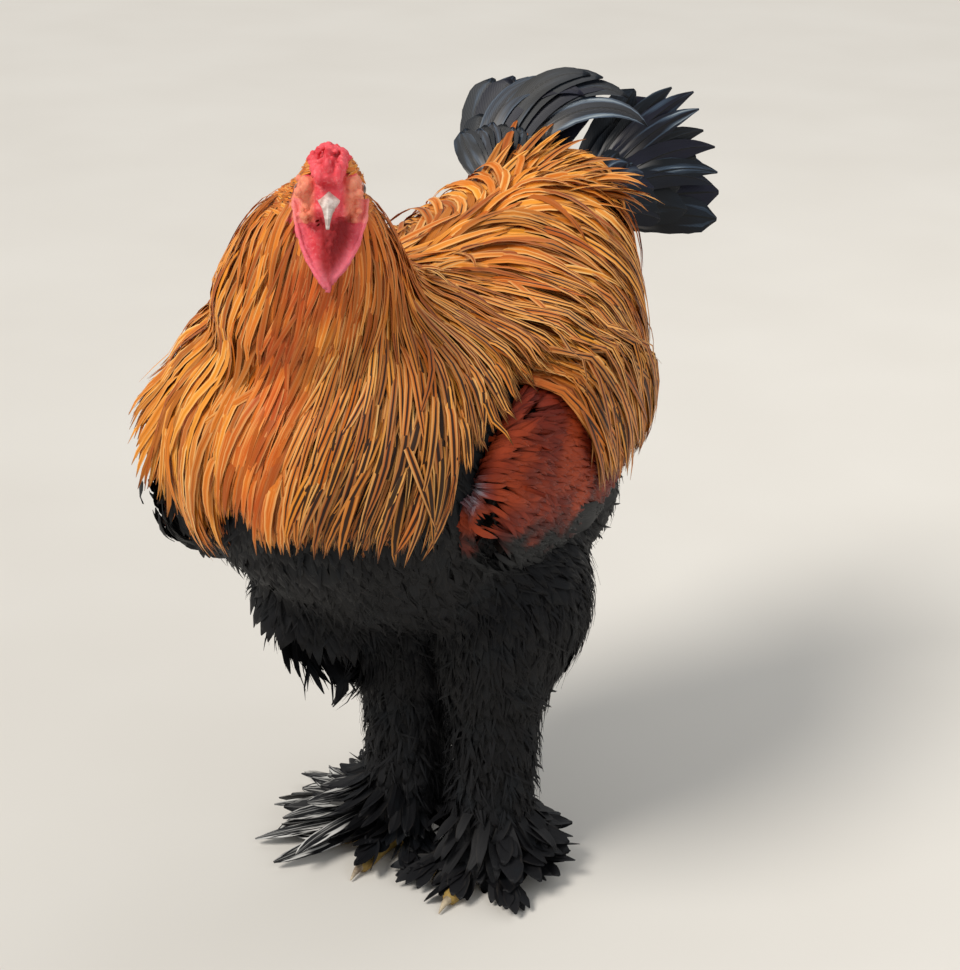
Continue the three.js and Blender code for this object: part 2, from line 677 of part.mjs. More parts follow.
// Legs: short feathers hang off the thigh's end, and a fan of them spreads from the shank outwards.
function thigh(side, by) {
  const spine = [side.hip.clone().add(V(0, 0, 20)), side.hip.clone().add(V(0, 0, -30))];
  const form = thighForm(side);
  const core = wrap(grown(form, by), spine, { sides: 14, caps: 3, middles: 2 });
  const vanes = Array.from({ length: 6 }, (_, i) => {
    const turn = ((i + 0.5) / 6) * Math.PI * 2;
    const aside = V(60 * Math.cos(turn), 60 * Math.sin(turn) + 12, HOCK_HEIGHT + 50);
    const root = side.foot.clone().add(aside);
    const flow = () => V(0, 0, -1);
    return laid({ form, root, flow, length: 62, width: 40, lift: [-4, 2, 5], steps: 3, by });
  });
  return [core, ...vanes];
}
const BOOT = { rows: 2, count: 5, low: 30, step: 62, length: 70, width: 23 };
function shank(side, by) {
  const top = V(side.foot.x, side.foot.y + 12, HOCK_HEIGHT + 10);
  const bottom = V(side.foot.x, side.foot.y, 40);
  const form = taper(top, bottom, SHANK_RADIUS + 4 + by, SHANK_RADIUS - 8 + by);
  const core = wrap(form, [top, bottom], { sides: 12, caps: 2, middles: 2 });
  const vanes = [];
  for (let row = 0; row < BOOT.rows; row++) {
    for (let i = 0; i < BOOT.count; i++) {
      const turn = degrees(mix(40, 140, (i + 0.4 * row) / (BOOT.count - 1)));
      const heading = V(side.sign * Math.sin(turn), -Math.cos(turn), row ? -0.9 : -0.12 - 0.02 * i);
      const root = V(side.foot.x, side.foot.y, BOOT.low + BOOT.step * row + 2 * i);
      root.add(V(heading.x, heading.y, 0).multiplyScalar(SHANK_RADIUS - 18));
      const level = V(0, 0, 1).cross(heading);
      const length = row ? BOOT.length : side.fan;
      const curl = row ? 0.4 : 0.1;
      const roll = row * 2 * SHINGLE;
      const width = BOOT.width - 4 * row;
      vanes.push(plume({ root, heading, side: level, length, width, curl, roll, steps: 3, by }));
    }
  }
  return [core, ...vanes];
}

// The face is placed before what it carries, and the plumage is cut clear of it.
place("torso", (by) => [round.torso(by)], "black");
place("head", head, "skin");
for (const side of SIDES) {
  place("eye_" + side.name, (by) => [ball(eyeAt(side), EYE.radius + by)], "eye");
}
place("bill_upper", (by) => [cut(bill(1, 0, by), ...(by ? [] : SIDES.map(nostril)))], "horn");
place("bill_lower", (by) => [bill(0.72, 6.2, by)], "horn");
place("comb", comb, "skin");
for (const side of SIDES) {
  place("wattle_" + side.name, (by) => [wattle(side, by)], "skin");
}
SIDES.forEach((side, i) => place("wing_" + side.name, (by) => wing(side, wings[i], by), "bay"));
place("neck", (by) => [round.neck(by), ...hackle(by)], "hackle");
place("tail", tail, "sheen");
place("saddle", saddle, "hackle");
for (const side of SIDES) {
  place("foot_" + side.name, (by) => foot(side, by), "toe");
  for (const toe of TOES) {
    place(["claw", side.name, toe.name].join("_"), (by) => [claw(side, toe, by)], "horn");
  }
}
for (const side of SIDES) {
  place("thigh_" + side.name, (by) => thigh(side, by), "black");
}
for (const side of SIDES) {
  place("shank_" + side.name, (by) => shank(side, by), "black");
}

// The origin is midway across the model, on the floor.
const bounds = new THREE.Box3().setFromObject(parts);
const centre = bounds.getCenter(V(0, 0, 0));
parts.position.set(-centre.x, -centre.y, -bounds.min.z);

export default parts;
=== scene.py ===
# %% [markdown]
# # A life-size brahma cock in gold and black
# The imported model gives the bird's true size and where each part is. Here the same bird gets its
# looks: one skin, then its plumage, feather tract by feather tract, each as thin solid vanes.
# The frame is loaded first and never changed, so that every piece can be placed by it.

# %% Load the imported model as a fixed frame
import math

import bmesh
import bpy
import numpy as np
from mathutils import Euler, Matrix, Vector


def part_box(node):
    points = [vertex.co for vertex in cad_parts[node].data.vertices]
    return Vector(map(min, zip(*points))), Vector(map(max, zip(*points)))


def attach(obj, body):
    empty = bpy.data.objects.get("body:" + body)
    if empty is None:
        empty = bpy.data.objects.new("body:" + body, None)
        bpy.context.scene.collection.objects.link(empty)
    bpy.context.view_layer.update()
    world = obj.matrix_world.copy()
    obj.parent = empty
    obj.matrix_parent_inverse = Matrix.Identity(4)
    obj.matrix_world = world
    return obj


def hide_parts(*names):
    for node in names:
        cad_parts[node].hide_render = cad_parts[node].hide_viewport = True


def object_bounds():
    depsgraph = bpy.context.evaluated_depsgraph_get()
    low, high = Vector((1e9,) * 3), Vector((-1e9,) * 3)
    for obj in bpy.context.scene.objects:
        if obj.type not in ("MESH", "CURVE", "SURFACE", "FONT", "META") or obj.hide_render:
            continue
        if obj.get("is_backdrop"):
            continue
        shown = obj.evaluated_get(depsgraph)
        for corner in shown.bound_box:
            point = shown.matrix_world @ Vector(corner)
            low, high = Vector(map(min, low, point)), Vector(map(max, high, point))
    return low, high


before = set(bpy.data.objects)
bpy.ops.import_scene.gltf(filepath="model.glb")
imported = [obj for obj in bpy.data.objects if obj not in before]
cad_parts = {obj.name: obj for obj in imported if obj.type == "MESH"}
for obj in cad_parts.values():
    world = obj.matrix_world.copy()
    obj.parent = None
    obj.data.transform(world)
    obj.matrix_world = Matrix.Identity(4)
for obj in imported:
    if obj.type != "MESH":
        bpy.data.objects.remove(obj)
cad_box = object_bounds()
scene = bpy.context.scene
MM = 0.001
claw_low, claw_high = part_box("claw_left_middle")
SHIFT = Vector(((claw_low.x + claw_high.x) / 2 - 64 * MM, claw_low.y + 101.2 * MM, 0))
print("nodes", len(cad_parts), "shift", [round(v, 4) for v in SHIFT])

# %% [markdown]
# ## Camera, floor and light
# The bird is seen from its front left and from a little above, as a person standing near it does.
# A museum would light it softly from above and in front. The main light is a sun lamp spread over
# a wide angle: like a large panel far off, it lights the whole floor alike and leaves soft shadows
# between the feathers, which a small lamp would turn into hard black lines.

# %% Set the camera
VIEW = {"azimuth": 28, "elevation": 23, "distance": 1.8, "focal": 2150, "width": 960}
TARGET = Vector((37, 26, 344)) * MM + SHIFT


def bearing(azimuth, elevation):
    """The way from the bird to a place round it. Azimuth 0 is straight ahead of its breast."""
    turn, rise = math.radians(azimuth), math.radians(elevation)
    level = math.cos(rise)
    return Vector((math.sin(turn) * level, -math.cos(turn) * level, math.sin(rise)))


def aim(thing, azimuth, elevation, distance, target=TARGET):
    way = bearing(azimuth, elevation)
    thing.location = target + way * distance
    thing.rotation_euler = (-way).to_track_quat("-Z", "Y").to_euler()
    scene.collection.objects.link(thing)


camera_data = bpy.data.cameras.new("camera")
camera_data.sensor_fit = "HORIZONTAL"
camera_data.sensor_width = 36
camera_data.lens = 36 * VIEW["focal"] / VIEW["width"]
camera = bpy.data.objects.new("camera", camera_data)
aim(camera, VIEW["azimuth"], VIEW["elevation"], VIEW["distance"])
scene.camera = camera
print("lens", round(camera_data.lens, 1), "mm")


# %% Hang the lamps and light the room
def lamp(name, azimuth, elevation, distance, size, watts, colour=(1, 1, 1)):
    data = bpy.data.lights.new(name, "AREA")
    data.size = size
    data.energy = watts
    data.color = colour
    aim(bpy.data.objects.new(name, data), azimuth, elevation, distance)


def far_lamp(name, azimuth, elevation, spread, strength, colour=(1, 1, 1)):
    """A wide soft light from so far off that the whole floor gets the same share."""
    data = bpy.data.lights.new(name, "SUN")
    data.angle = math.radians(spread)
    data.energy = strength
    data.color = colour
    aim(bpy.data.objects.new(name, data), azimuth, elevation, 5)


far_lamp("key_light", -26, 50, 24, 2.6, (1, 0.965, 0.91))
lamp("fill_lamp", 72, 34, 2.8, 1.8, 12, (0.95, 0.98, 1))
lamp("back_lamp", 165, 46, 2.4, 1.4, 9, (1, 0.98, 0.95))
world = bpy.data.worlds.new("studio")
world.use_nodes = True
world.node_tree.nodes["Background"].inputs["Color"].default_value = (0.9, 0.93, 0.96, 1)
world.node_tree.nodes["Background"].inputs["Strength"].default_value = 0.5
scene.world = world
scene.view_settings.view_transform = "Standard"

# %% [markdown]
# ## Writing finishes as sums
# A finish is a node tree, but most of it is arithmetic: a stripe is a step over a feather's
# width, a tone is a share of two colours. The small class below wraps a socket, so that such sums
# are written as plain Python and each one adds its own Math node. Colours go through Mix nodes,
# because a Math node would turn them grey.


# %% A socket that can be reckoned with
class Signal:
    """A shader value. Arithmetic on it adds Math nodes to its finish."""

    def __init__(self, finish, socket):
        self.finish = finish
        self.socket = socket

    def math(self, operation, *values, clamp=False):
        settings = {"operation": operation, "use_clamp": clamp}
        return self.finish.add("ShaderNodeMath", settings, dict(enumerate(values)))

    def __add__(self, other):
        return self.math("ADD", self, other)

    def __radd__(self, other):
        return self.math("ADD", other, self)

    def __sub__(self, other):
        return self.math("SUBTRACT", self, other)

    def __rsub__(self, other):
        return self.math("SUBTRACT", other, self)

    def __mul__(self, other):
        return self.math("MULTIPLY", self, other)

    def __rmul__(self, other):
        return self.math("MULTIPLY", other, self)

    def __truediv__(self, other):
        return self.math("DIVIDE", self, other)

    def __pow__(self, other):
        return self.math("POWER", self, other)

    def clipped(self):
        return self.math("ADD", self, 0, clamp=True)

    def sine(self):
        return self.math("SINE", self)

    def size(self):
        return self.math("ABSOLUTE", self)

    def step(self, low, high):
        """0 below low, 1 above high, and smooth between."""
        settings = {"interpolation_type": "SMOOTHSTEP"}
        return self.finish.add("ShaderNodeMapRange", settings, {0: self, 1: low, 2: high})


def paint(code):
    """A colour as designers write it, such as c8701a, in Blender's linear numbers."""
    shares = [int(code[i : i + 2], 16) / 255 for i in (0, 2, 4)]
    return tuple([s / 12.92 if s < 0.04 else ((s + 0.055) / 1.055) ** 2.4 for s in shares] + [1])


class Finish:
    """A material with one Principled shader, and a method that adds any node."""

    def __init__(self, name, **constants):
        self.material = bpy.data.materials.new(name)
        self.material.use_nodes = True
        self.tree = self.material.node_tree
        self.shader = self.tree.nodes["Principled BSDF"]
        self.parts = {}
        for constant, value in constants.items():
            socket = constant.replace("_", " ").title().replace("Ior", "IOR")
            self.shader.inputs[socket].default_value = value

    def add(self, kind, settings=None, inputs=None, output=0):
        node = self.tree.nodes.new(kind)
        for name, value in (settings or {}).items():
            if name == "stops":
                self.set_stops(node.color_ramp, value)
            else:
                setattr(node, name, value)
        for name, value in (inputs or {}).items():
            if isinstance(value, Signal):
                self.tree.links.new(value.socket, node.inputs[name])
            else:
                node.inputs[name].default_value = value
        return Signal(self, node.outputs[output])

    def set_stops(self, ramp, stops):
        while len(ramp.elements) < len(stops):
            ramp.elements.new(0.5)
        for element, (position, colour) in zip(ramp.elements, stops):
            element.position = position
            element.color = colour

    def mixed(self, share, first, second, blend="MIX"):
        settings = {"data_type": "RGBA", "blend_type": blend, "clamp_factor": True}
        return self.add("ShaderNodeMix", settings, {0: share, 6: first, 7: second}, output=2)

    def attribute(self, name):
        return self.add("ShaderNodeAttribute", {"attribute_name": name}, output=2)

    def noise(self, scale, detail=3, stretch=(1, 1, 1), roughness=0.5):
        """Noise over Object coordinates, in a grain of about 1/scale metres."""
        if "place" not in self.parts:
            self.parts["place"] = self.add("ShaderNodeTexCoord", output=3)
        inputs = {"Vector": self.parts["place"], "Scale": stretch}
        where = self.add("ShaderNodeMapping", {}, inputs)
        inputs = {"Vector": where, "Scale": scale, "Detail": detail, "Roughness": roughness}
        return self.add("ShaderNodeTexNoise", {}, inputs)

    def across_and_along(self):
        """A vane's own coordinates: 0 to 1 from edge to edge, and 0 at its root to 1 at its tip."""
        uv = self.add("ShaderNodeUVMap", {"uv_map": "vane"})
        split = self.tree.nodes.new("ShaderNodeSeparateXYZ")
        self.tree.links.new(uv.socket, split.inputs[0])
        across, along = (Signal(self, split.outputs[i]) for i in (0, 1))
        return across, along

    def fibres(self, across, along, chance, fineness=9, length=3):
        """Noise drawn out along a vane, as its barbs are, and different on each feather."""
        places = {0: across * fineness, 1: along * length, 2: chance * 40}
        where = self.add("ShaderNodeCombineXYZ", {}, places)
        return self.add("ShaderNodeTexNoise", {}, {"Vector": where, "Scale": 1.0, "Detail": 2.0})

    def link(self, socket, value):
        self.tree.links.new(value.socket, self.shader.inputs[socket])

    def bump(self, height, distance, strength=1.0):
        inputs = {"Height": height, "Distance": distance, "Strength": strength}
        self.link("Normal", self.add("ShaderNodeBump", {}, inputs))


print("colour c8701a is", [round(c, 3) for c in paint("c8701a")])

# %% [markdown]
# ## The bird's form
# Under the plumage lies a rounded body. It could be sculpted, but here it is reckoned: each part
# is an ellipsoid or a tapering rod whose distance to any point is known, and near parts are
# blended. The same reckoning then carries every feather, because a feather that lies on a body
# only has to ask how high it is over the form and which way is out. Two forms, shoulder and
# flank, are no part of the body: they are the loose plumage that swells over the right shoulder
# and in front of the right thigh.


# %% Distances to rounded forms, in millimetres
def ellipsoid(centre, radii, turn=(0, 0, 0)):
    centre, radii = np.array(centre, float), np.array(radii, float)
    axes = np.array(Euler([math.radians(a) for a in turn]).to_matrix())

    def distance(points):
        near = (points - centre) @ axes / radii
        size = np.linalg.norm(near, axis=-1)
        slope = np.linalg.norm(near / radii, axis=-1)
        return size * (size - 1) / np.maximum(slope, 1e-9)

    return distance


def taper(start, end, radius_start, radius_end):
    start, end = np.array(start, float), np.array(end, float)
    along = end - start

    def distance(points):
        offset = points - start
        share = np.clip(offset @ along / (along @ along), 0, 1)
        reach = np.linalg.norm(offset - share[..., None] * along, axis=-1)
        return reach - radius_start - (radius_end - radius_start) * share

    return distance


def blend(reach, *forms):
    """Several forms as one, with creases filled over a width of reach."""

    def distance(points):
        whole = forms[0](points)
        for form in forms[1:]:
            other = form(points)
            near = np.maximum(reach - np.abs(whole - other), 0) / reach
            whole = np.minimum(whole, other) - near * near * reach / 4
        return whole

    return distance


def grown(form, by):
    return lambda points: form(points) - by


def unit(vectors):
    return vectors / np.maximum(np.linalg.norm(vectors, axis=-1, keepdims=True), 1e-9)


def outward(form, points, step=0.8):
    """The way out of a form at each point."""
    slopes = [form(points + step * axis) - form(points - step * axis) for axis in np.eye(3)]
    return unit(np.stack(slopes, axis=-1))


def settle(form, points, height, rounds=3):
    """The points moved along the form's slope until they lie at that height over it."""
    for _ in range(rounds):
        points = points + outward(form, points) * (height - form(points))[..., None]
    return points


# %% The parts of the body
CHEST, MIDDLE, RUMP = (-30, -85, 415), (-14, 20, 410), (8, 115, 432)
TAIL_ROOT = np.array((21.0, 219, 528))
torso = blend(
    45,
    ellipsoid(CHEST, (140, 125, 132)),
    ellipsoid(MIDDLE, (146, 150, 132)),
    ellipsoid(RUMP, (112, 122, 115)),
    ellipsoid((10, 105, 315), (104, 112, 92)),
    ellipsoid((-18, -5, 310), (112, 118, 80)),
    ellipsoid((15, 168, 505), (72, 72, 62), (25, 0, 0)),
)
NECK_LINE = [(-30, -92, 465), (-22, -128, 545), (-4, -146, 600), (8, -154, 632)]


def neck_of(*radii):
    rods = [taper(NECK_LINE[i], NECK_LINE[i + 1], radii[i], radii[i + 1]) for i in range(3)]
    return blend(40, *rods)


neck = neck_of(98, 72, 46, 28)
cape_ball = ellipsoid((-28, -92, 490), (122, 112, 96))
tail_base = ellipsoid((-3, 212, 529), (62, 52, 38), (40, 0, -6))
SIDES = {
    "left": {
        "sign": 1,
        "foot": np.array((64.0, -4, 0)),
        "hip": (74, 22, 245),
        "wing": ellipsoid((120, -6, 395), (20, 122, 74), (4, 8, -4)),
        "wing_at": np.array((120.0, -6, 395)),
        "droop": 0.08,
    },
    "right": {
        "sign": -1,
        "foot": np.array((-28.0, 4, 0)),
        "hip": (-62, -2, 248),
        "wing": ellipsoid((-172, -26, 345), (20, 122, 74), (-12, -7, -6)),
        "wing_at": np.array((-172.0, -26, 345)),
        "droop": 0.5,
    },
}
TOES = {"middle": (0, 74, 9), "inner": (-38, 56, 8), "outer": (40, 58, 8), "hind": (168, 36, 8)}
for side in SIDES.values():
    foot = side["foot"]
    side["hock"] = foot + (0, 12, 187)
    upper_leg = taper(side["hip"], side["hock"], 54, 44)
    side["thigh"] = blend(30, ellipsoid(side["hip"], (62, 76, 78)), upper_leg)
    side["shank"] = taper(foot + (0, 12, 175), foot + (0, 0, 40), 38, 26)
    side["toes"] = {}
    for toe, (angle, length, radius) in TOES.items():
        heading = math.radians(angle) * side["sign"]
        way = np.array((math.sin(heading), -math.cos(heading), 0))
        hub, tip = foot + (0, 0, 10), foot + way * length + (0, 0, 6)
        sizes = {"way": way, "hub": hub, "tip": tip, "radius": radius}
        side["toes"][toe] = sizes | {"form": taper(hub, tip, radius + 1, radius - 2)}
wings = [side["wing"] for side in SIDES.values()]
shoulder = ellipsoid((-148, -120, 380), (48, 66, 80), (0, -10, 0))
flank = ellipsoid((-66, -75, 240), (42, 60, 80), (0, -14, 0))
left_side = blend(50, torso, grown(wings[0], 2))
mantle = blend(14, grown(neck, -12), left_side, grown(wings[1], 1), grown(shoulder, -3))
drape = blend(14, left_side, tail_base, grown(wings[1], 1))
print("height over the back", round(float(torso(np.array([[-14.0, 20, 560]]))[0]), 1), "mm")

# %% [markdown]
# ## One skin from neck to toes
# On the bird the skin runs unbroken under the feathers. Balls and rods at the parts' places are
# melted into one surface by a voxel remesh, and each of its points is then drawn onto the reckoned
# form, a coat's depth inside the plumage. The head needs detail ten times finer, so it is
# remeshed on its own and then joined to the neck by a Boolean union.

# %% Helpers for meshes
SKIN_GRAIN = 4.6
COAT = {"torso": 12, "wing": 5, "thigh": 10, "shank": 9, "tail": 8}


def add_ball(bm, centre, radii, turn=None, detail=3):
    """An icosphere stretched to three radii, at its place."""
    turn = turn if turn is not None else Matrix.Identity(3)
    shape = Matrix.Translation(Vector(centre)) @ turn.to_4x4() @ Matrix.Diagonal((*radii, 1))
    bmesh.ops.create_icosphere(bm, subdivisions=detail, radius=1, matrix=shape)


def add_rod(bm, start, end, radius_start, radius_end, count=6):
    """A chain of balls that a remesh melts into a tapering rod."""
    for share in np.linspace(0, 1, count):
        radius = radius_start + (radius_end - radius_start) * share
        add_ball(bm, Vector(start).lerp(Vector(end), share), (radius,) * 3)


def piece_from(name, bm):
    mesh = bpy.data.meshes.new(name)
    bm.to_mesh(mesh)
    bm.free()
    piece = bpy.data.objects.new(name, mesh)
    scene.collection.objects.link(piece)
    return piece


def with_modifier(piece, kind, **settings):
    """The piece's mesh with one modifier applied to it."""
    modifier = piece.modifiers.new(kind.lower(), kind)
    for name, value in settings.items():
        setattr(modifier, name, value)
    bpy.context.view_layer.update()
    shaped = bpy.data.meshes.new_from_object(
        piece.evaluated_get(bpy.context.evaluated_depsgraph_get())
    )
    piece.modifiers.clear()
    piece.data = shaped
    return piece


def places_of(mesh):
    flat = np.zeros(len(mesh.vertices) * 3, np.float32)
    mesh.vertices.foreach_get("co", flat)
    return flat.reshape(-1, 3).astype(float)


def set_places(mesh, points):
    mesh.vertices.foreach_set("co", np.asarray(points, np.float32).ravel())
    mesh.update()


def drift(points, grain, seed):
    """A smooth random field from -1 to 1 whose waves are about a grain long."""
    rng = np.random.default_rng(seed)
    total = np.zeros(points.shape[:-1])
    for _ in range(6):
        way = unit(rng.normal(size=3)) * rng.uniform(0.7, 1.5) * 2 * math.pi / grain
        total = total + np.sin(points @ way + rng.uniform(0, 6.28))
    return total / 3.2


# %% Melt the body's skin
NECK_SKIN = (78, 54, 31, 21)
skin_neck = neck_of(*NECK_SKIN)
bm = bmesh.new()
for centre, radii in [
    (CHEST, (128, 113, 120)),
    (MIDDLE, (134, 138, 120)),
    (RUMP, (100, 110, 103)),
    ((10, 105, 315), (92, 100, 80)),
    ((-18, -5, 310), (100, 106, 68)),
    ((15, 168, 505), (60, 60, 50)),
    ((-3, 212, 529), (54, 44, 30)),
]:
    add_ball(bm, centre, radii)
for start, end, wide, narrow in zip(NECK_LINE, NECK_LINE[1:], NECK_SKIN, NECK_SKIN[1:]):
    add_rod(bm, start, end, wide, narrow)
skin_forms = [grown(torso, -COAT["torso"]), skin_neck, grown(tail_base, -COAT["tail"])]
for side in SIDES.values():
    foot, hip, hock = side["foot"], side["hip"], side["hock"]
    add_ball(bm, side["wing_at"], (15, 105, 62))
    add_ball(bm, hip, (52, 66, 68))
    add_rod(bm, hip, hock, 44, 34)
    add_rod(bm, hock, foot + (0, 0, 30), 28, 17)
    skin_forms += [grown(side["wing"], -COAT["wing"]), grown(side["thigh"], -COAT["thigh"])]
    skin_forms.append(grown(side["shank"], -COAT["shank"]))
    for toe in side["toes"].values():
        add_rod(bm, toe["hub"], toe["tip"], toe["radius"] + 1, toe["radius"] - 2, count=10)
        skin_forms.append(toe["form"])
skin = piece_from("skin", bm)
with_modifier(skin, "REMESH", mode="VOXEL", voxel_size=SKIN_GRAIN)
skin_form = blend(14, *skin_forms)
places = settle(skin_form, places_of(skin.data), 0)
places[:, 2] = np.maximum(places[:, 2], 0.4)
set_places(skin.data, places)
print("body skin", len(skin.data.polygons), "faces")

# %% [markdown]
# ## The head
# A cock's face is bare red skin: brows over the eyes, cheeks, ear lobes, two wattles that hang as
# cupped folds with a thin rim, and on this breed a pea comb, three low rows of bumps. Each is a
# ball, a ring or a bent sheet, melted together at under a millimetre, so that the creases between
# the bumps stay. Fine noise then wrinkles it.

# %% The head's own frame, with x along the bill, y to the bird's left and z up
HEAD_TURN, HEAD_PITCH = math.radians(29), math.radians(-3)
SKULL = Vector((22, -172, 642))
head_axes = Euler((0, HEAD_PITCH, HEAD_TURN - math.pi / 2)).to_matrix()
head_frame = Matrix.Translation(SKULL) @ head_axes.to_4x4()
EYE = {"x": 7, "y": 19.5, "z": 3, "radius": 6}
HEAD_GRAIN = 0.85
WATTLE = {"height": {1: 47, -1: 53}, "lean": 20, "thickness": 3.0, "rim": 1.7, "edge": 0.97}


def on_head(x, y, z):
    return head_frame @ Vector((x, y, z))


def head_ball(bm, centre, radii, tilt=0.0):
    add_ball(bm, on_head(*centre), radii, head_axes @ Euler((0, tilt, 0)).to_matrix())


def wattle_at(sign, across, down):
    """A place on a wattle, from the bill's corner outwards and from its top down."""
    span = max(0.18, math.cos(down * math.pi / 2) ** 0.62)
    wide = across * span
    cup = 5 * math.sin(math.pi * across) * math.sin(math.pi * min(down + 0.15, 1))
    rim = 3 * across**3 * math.sin(math.pi * down)
    forward = 19 - 17 * wide - cup + rim + WATTLE["lean"] * down
    height = -9 - WATTLE["height"][sign] * down + 6 * across * (1 - down)
    return on_head(forward, sign * (27.8 * wide - 0.8), height)


# %% Model the head from balls, rings and sheets
rng = np.random.default_rng(11)
bm = bmesh.new()
head_ball(bm, (-4, 0, 0), (29, 21, 23))
head_ball(bm, (15, 0, -5), (12.5, 11, 11.5))
head_ball(bm, (-16, 0, -14), (20, 17, 26))
for sign in (-1, 1):
    head_ball(bm, (9, sign * 15, 10), (13, 6.5, 5.5), 0.15)
    head_ball(bm, (-2, sign * 15, -10), (15, 7.5, 10))
    head_ball(bm, (-15, sign * 20, -13), (6, 4, 11), -0.2)
    head_ball(bm, (EYE["x"], sign * 17, EYE["z"]), (9.5, 4.6, 8.5))
    head_ball(bm, (16, sign * 9, -9), (9, 5, 6))
    for share in np.linspace(0, 2 * math.pi, 30, endpoint=False):
        place = (EYE["x"] + 6.4 * math.cos(share), sign * 21.2, EYE["z"] + 4.9 * math.sin(share))
        head_ball(bm, place, (1.7, 1.7, 1.5 if math.sin(share) < 0 else 2.1))
    sheet = bmesh.new()
    bmesh.ops.create_grid(sheet, x_segments=16, y_segments=26, size=0.5)
    for vertex in sheet.verts:
        vertex.co = wattle_at(sign, vertex.co.x + 0.5, vertex.co.y + 0.5)
    bmesh.ops.solidify(sheet, geom=sheet.faces[:], thickness=WATTLE["thickness"])
    shell = bpy.data.meshes.new("wattle_sheet")
    sheet.to_mesh(shell)
    sheet.free()
    bm.from_mesh(shell)
    for down in np.linspace(0.06, 0.97, 34):
        swell = 1 + 0.2 * math.sin(down * 23 + sign)
        add_ball(bm, wattle_at(sign, WATTLE["edge"], down), (WATTLE["rim"] * swell,) * 3, detail=2)
    for down in np.linspace(0.02, 0.5, 16):
        swell = rng.uniform(1.6, 3.2)
        add_ball(bm, wattle_at(sign, rng.uniform(0.04, 0.2), down), (swell,) * 3, detail=2)
print("head frame at", [round(v) for v in SKULL], "mm")

# %% Model the comb: three rows of bumps on one low ridge
head_ball(bm, (4, 0, 17), (26, 12, 12))
for row in (-1, 0, 1):
    for i in range(8):
        share = i / 7
        swell = math.sin(math.pi * (0.16 + 0.74 * share))
        tall = (6 + 2 * swell if row else 7 + 4 * swell) * rng.uniform(0.82, 1.12)
        place = (
            26 - 43 * share,
            row * (4 + 6.4 * swell) + rng.normal(0, 0.7),
            15 + 12.5 * swell - 4 * abs(row),
        )
        head_ball(
            bm, place, (rng.uniform(3.6, 5), rng.uniform(3.2, 4.4), tall), rng.normal(0, 0.25)
        )
for _ in range(70):
    share = rng.uniform(0.02, 0.95)
    swell = math.sin(math.pi * (0.16 + 0.74 * share))
    lean = rng.uniform(-1, 1)
    top = 23 + 15 * swell - 10 * lean * lean
    place = (26 - 43 * share, lean * (5 + 10 * swell), top - 3.5)
    head_ball(bm, place, (rng.uniform(1.6, 2.9), rng.uniform(1.2, 2.2), rng.uniform(1.4, 2.6)))
for sign in (-1, 1):
    for _ in range(46):
        place = (rng.uniform(-8, 20), sign * rng.uniform(13, 22), rng.uniform(-18, 12))
        if abs(place[0] - EYE["x"]) > 9 or abs(place[2] - EYE["z"]) > 8:
            head_ball(bm, place, (rng.uniform(1.5, 3.4),) * 3)
head = piece_from("head_skin", bm)
with_modifier(head, "REMESH", mode="VOXEL", voxel_size=HEAD_GRAIN)
with_modifier(head, "SMOOTH", factor=0.5, iterations=2)
places = places_of(head.data)
normals = np.zeros(len(places) * 3, np.float32)
head.data.vertices.foreach_get("normal", normals)
wrinkle = 0.28 * drift(places, 5.5, 3) + 0.2 * drift(places, 3.2, 4)
set_places(head.data, places + normals.reshape(-1, 3) * wrinkle[:, None])
print("head skin", len(head.data.polygons), "faces")

# %% Join head and body into one skin and unwrap it
with_modifier(skin, "BOOLEAN", operation="UNION", solver="MANIFOLD", object=head)
bpy.data.objects.remove(head)
bpy.context.view_layer.objects.active = skin
skin.select_set(True)
for layer in skin.data.uv_layers[:]:
    skin.data.uv_layers.remove(layer)
skin.data.uv_layers.new(name="OFBake")
bpy.ops.object.mode_set(mode="EDIT")
bpy.ops.mesh.select_all(action="SELECT")
bpy.ops.uv.smart_project(angle_limit=math.radians(66), island_margin=0.002)
bpy.ops.object.mode_set(mode="OBJECT")
skin.select_set(False)
print("whole skin", len(skin.data.polygons), "faces, in", len(skin.data.vertices), "points")

# %% Where the skin's faces are, and their places on the unwrap
mesh = skin.data
face_places = np.zeros(len(mesh.polygons) * 3, np.float32)
mesh.polygons.foreach_get("center", face_places)
face_places = face_places.reshape(-1, 3).astype(float)
face_areas = np.zeros(len(mesh.polygons), np.float32)
mesh.polygons.foreach_get("area", face_areas)
first_corners = np.zeros(len(mesh.polygons), np.int32)
mesh.polygons.foreach_get("loop_start", first_corners)
corner_spots = np.zeros(len(mesh.loops) * 2, np.float32)
mesh.uv_layers["OFBake"].data.foreach_get("uv", corner_spots)
face_spots = corner_spots.reshape(-1, 2)[first_corners].astype(float)
print("skin area", round(float(face_areas.sum()) * 1e-6, 3), "square metres")

# %% [markdown]
# ## How feathers are laid
# A feather grows from a root, follows the lie of the coat and rises a little, so that its tip
# covers the roots behind it, like a shingle. Hair systems could comb it, but an export drops
# them, so each feather here is a thin closed vane. All feathers of a tract are laid at once in
# arrays: roots are scattered over the skin, walked along a flow, and given width and shaft. A
# tract may end along a hem: its edge function gives the hem's height, lengths are cut to it, and
# a feather that strays below it is left out.


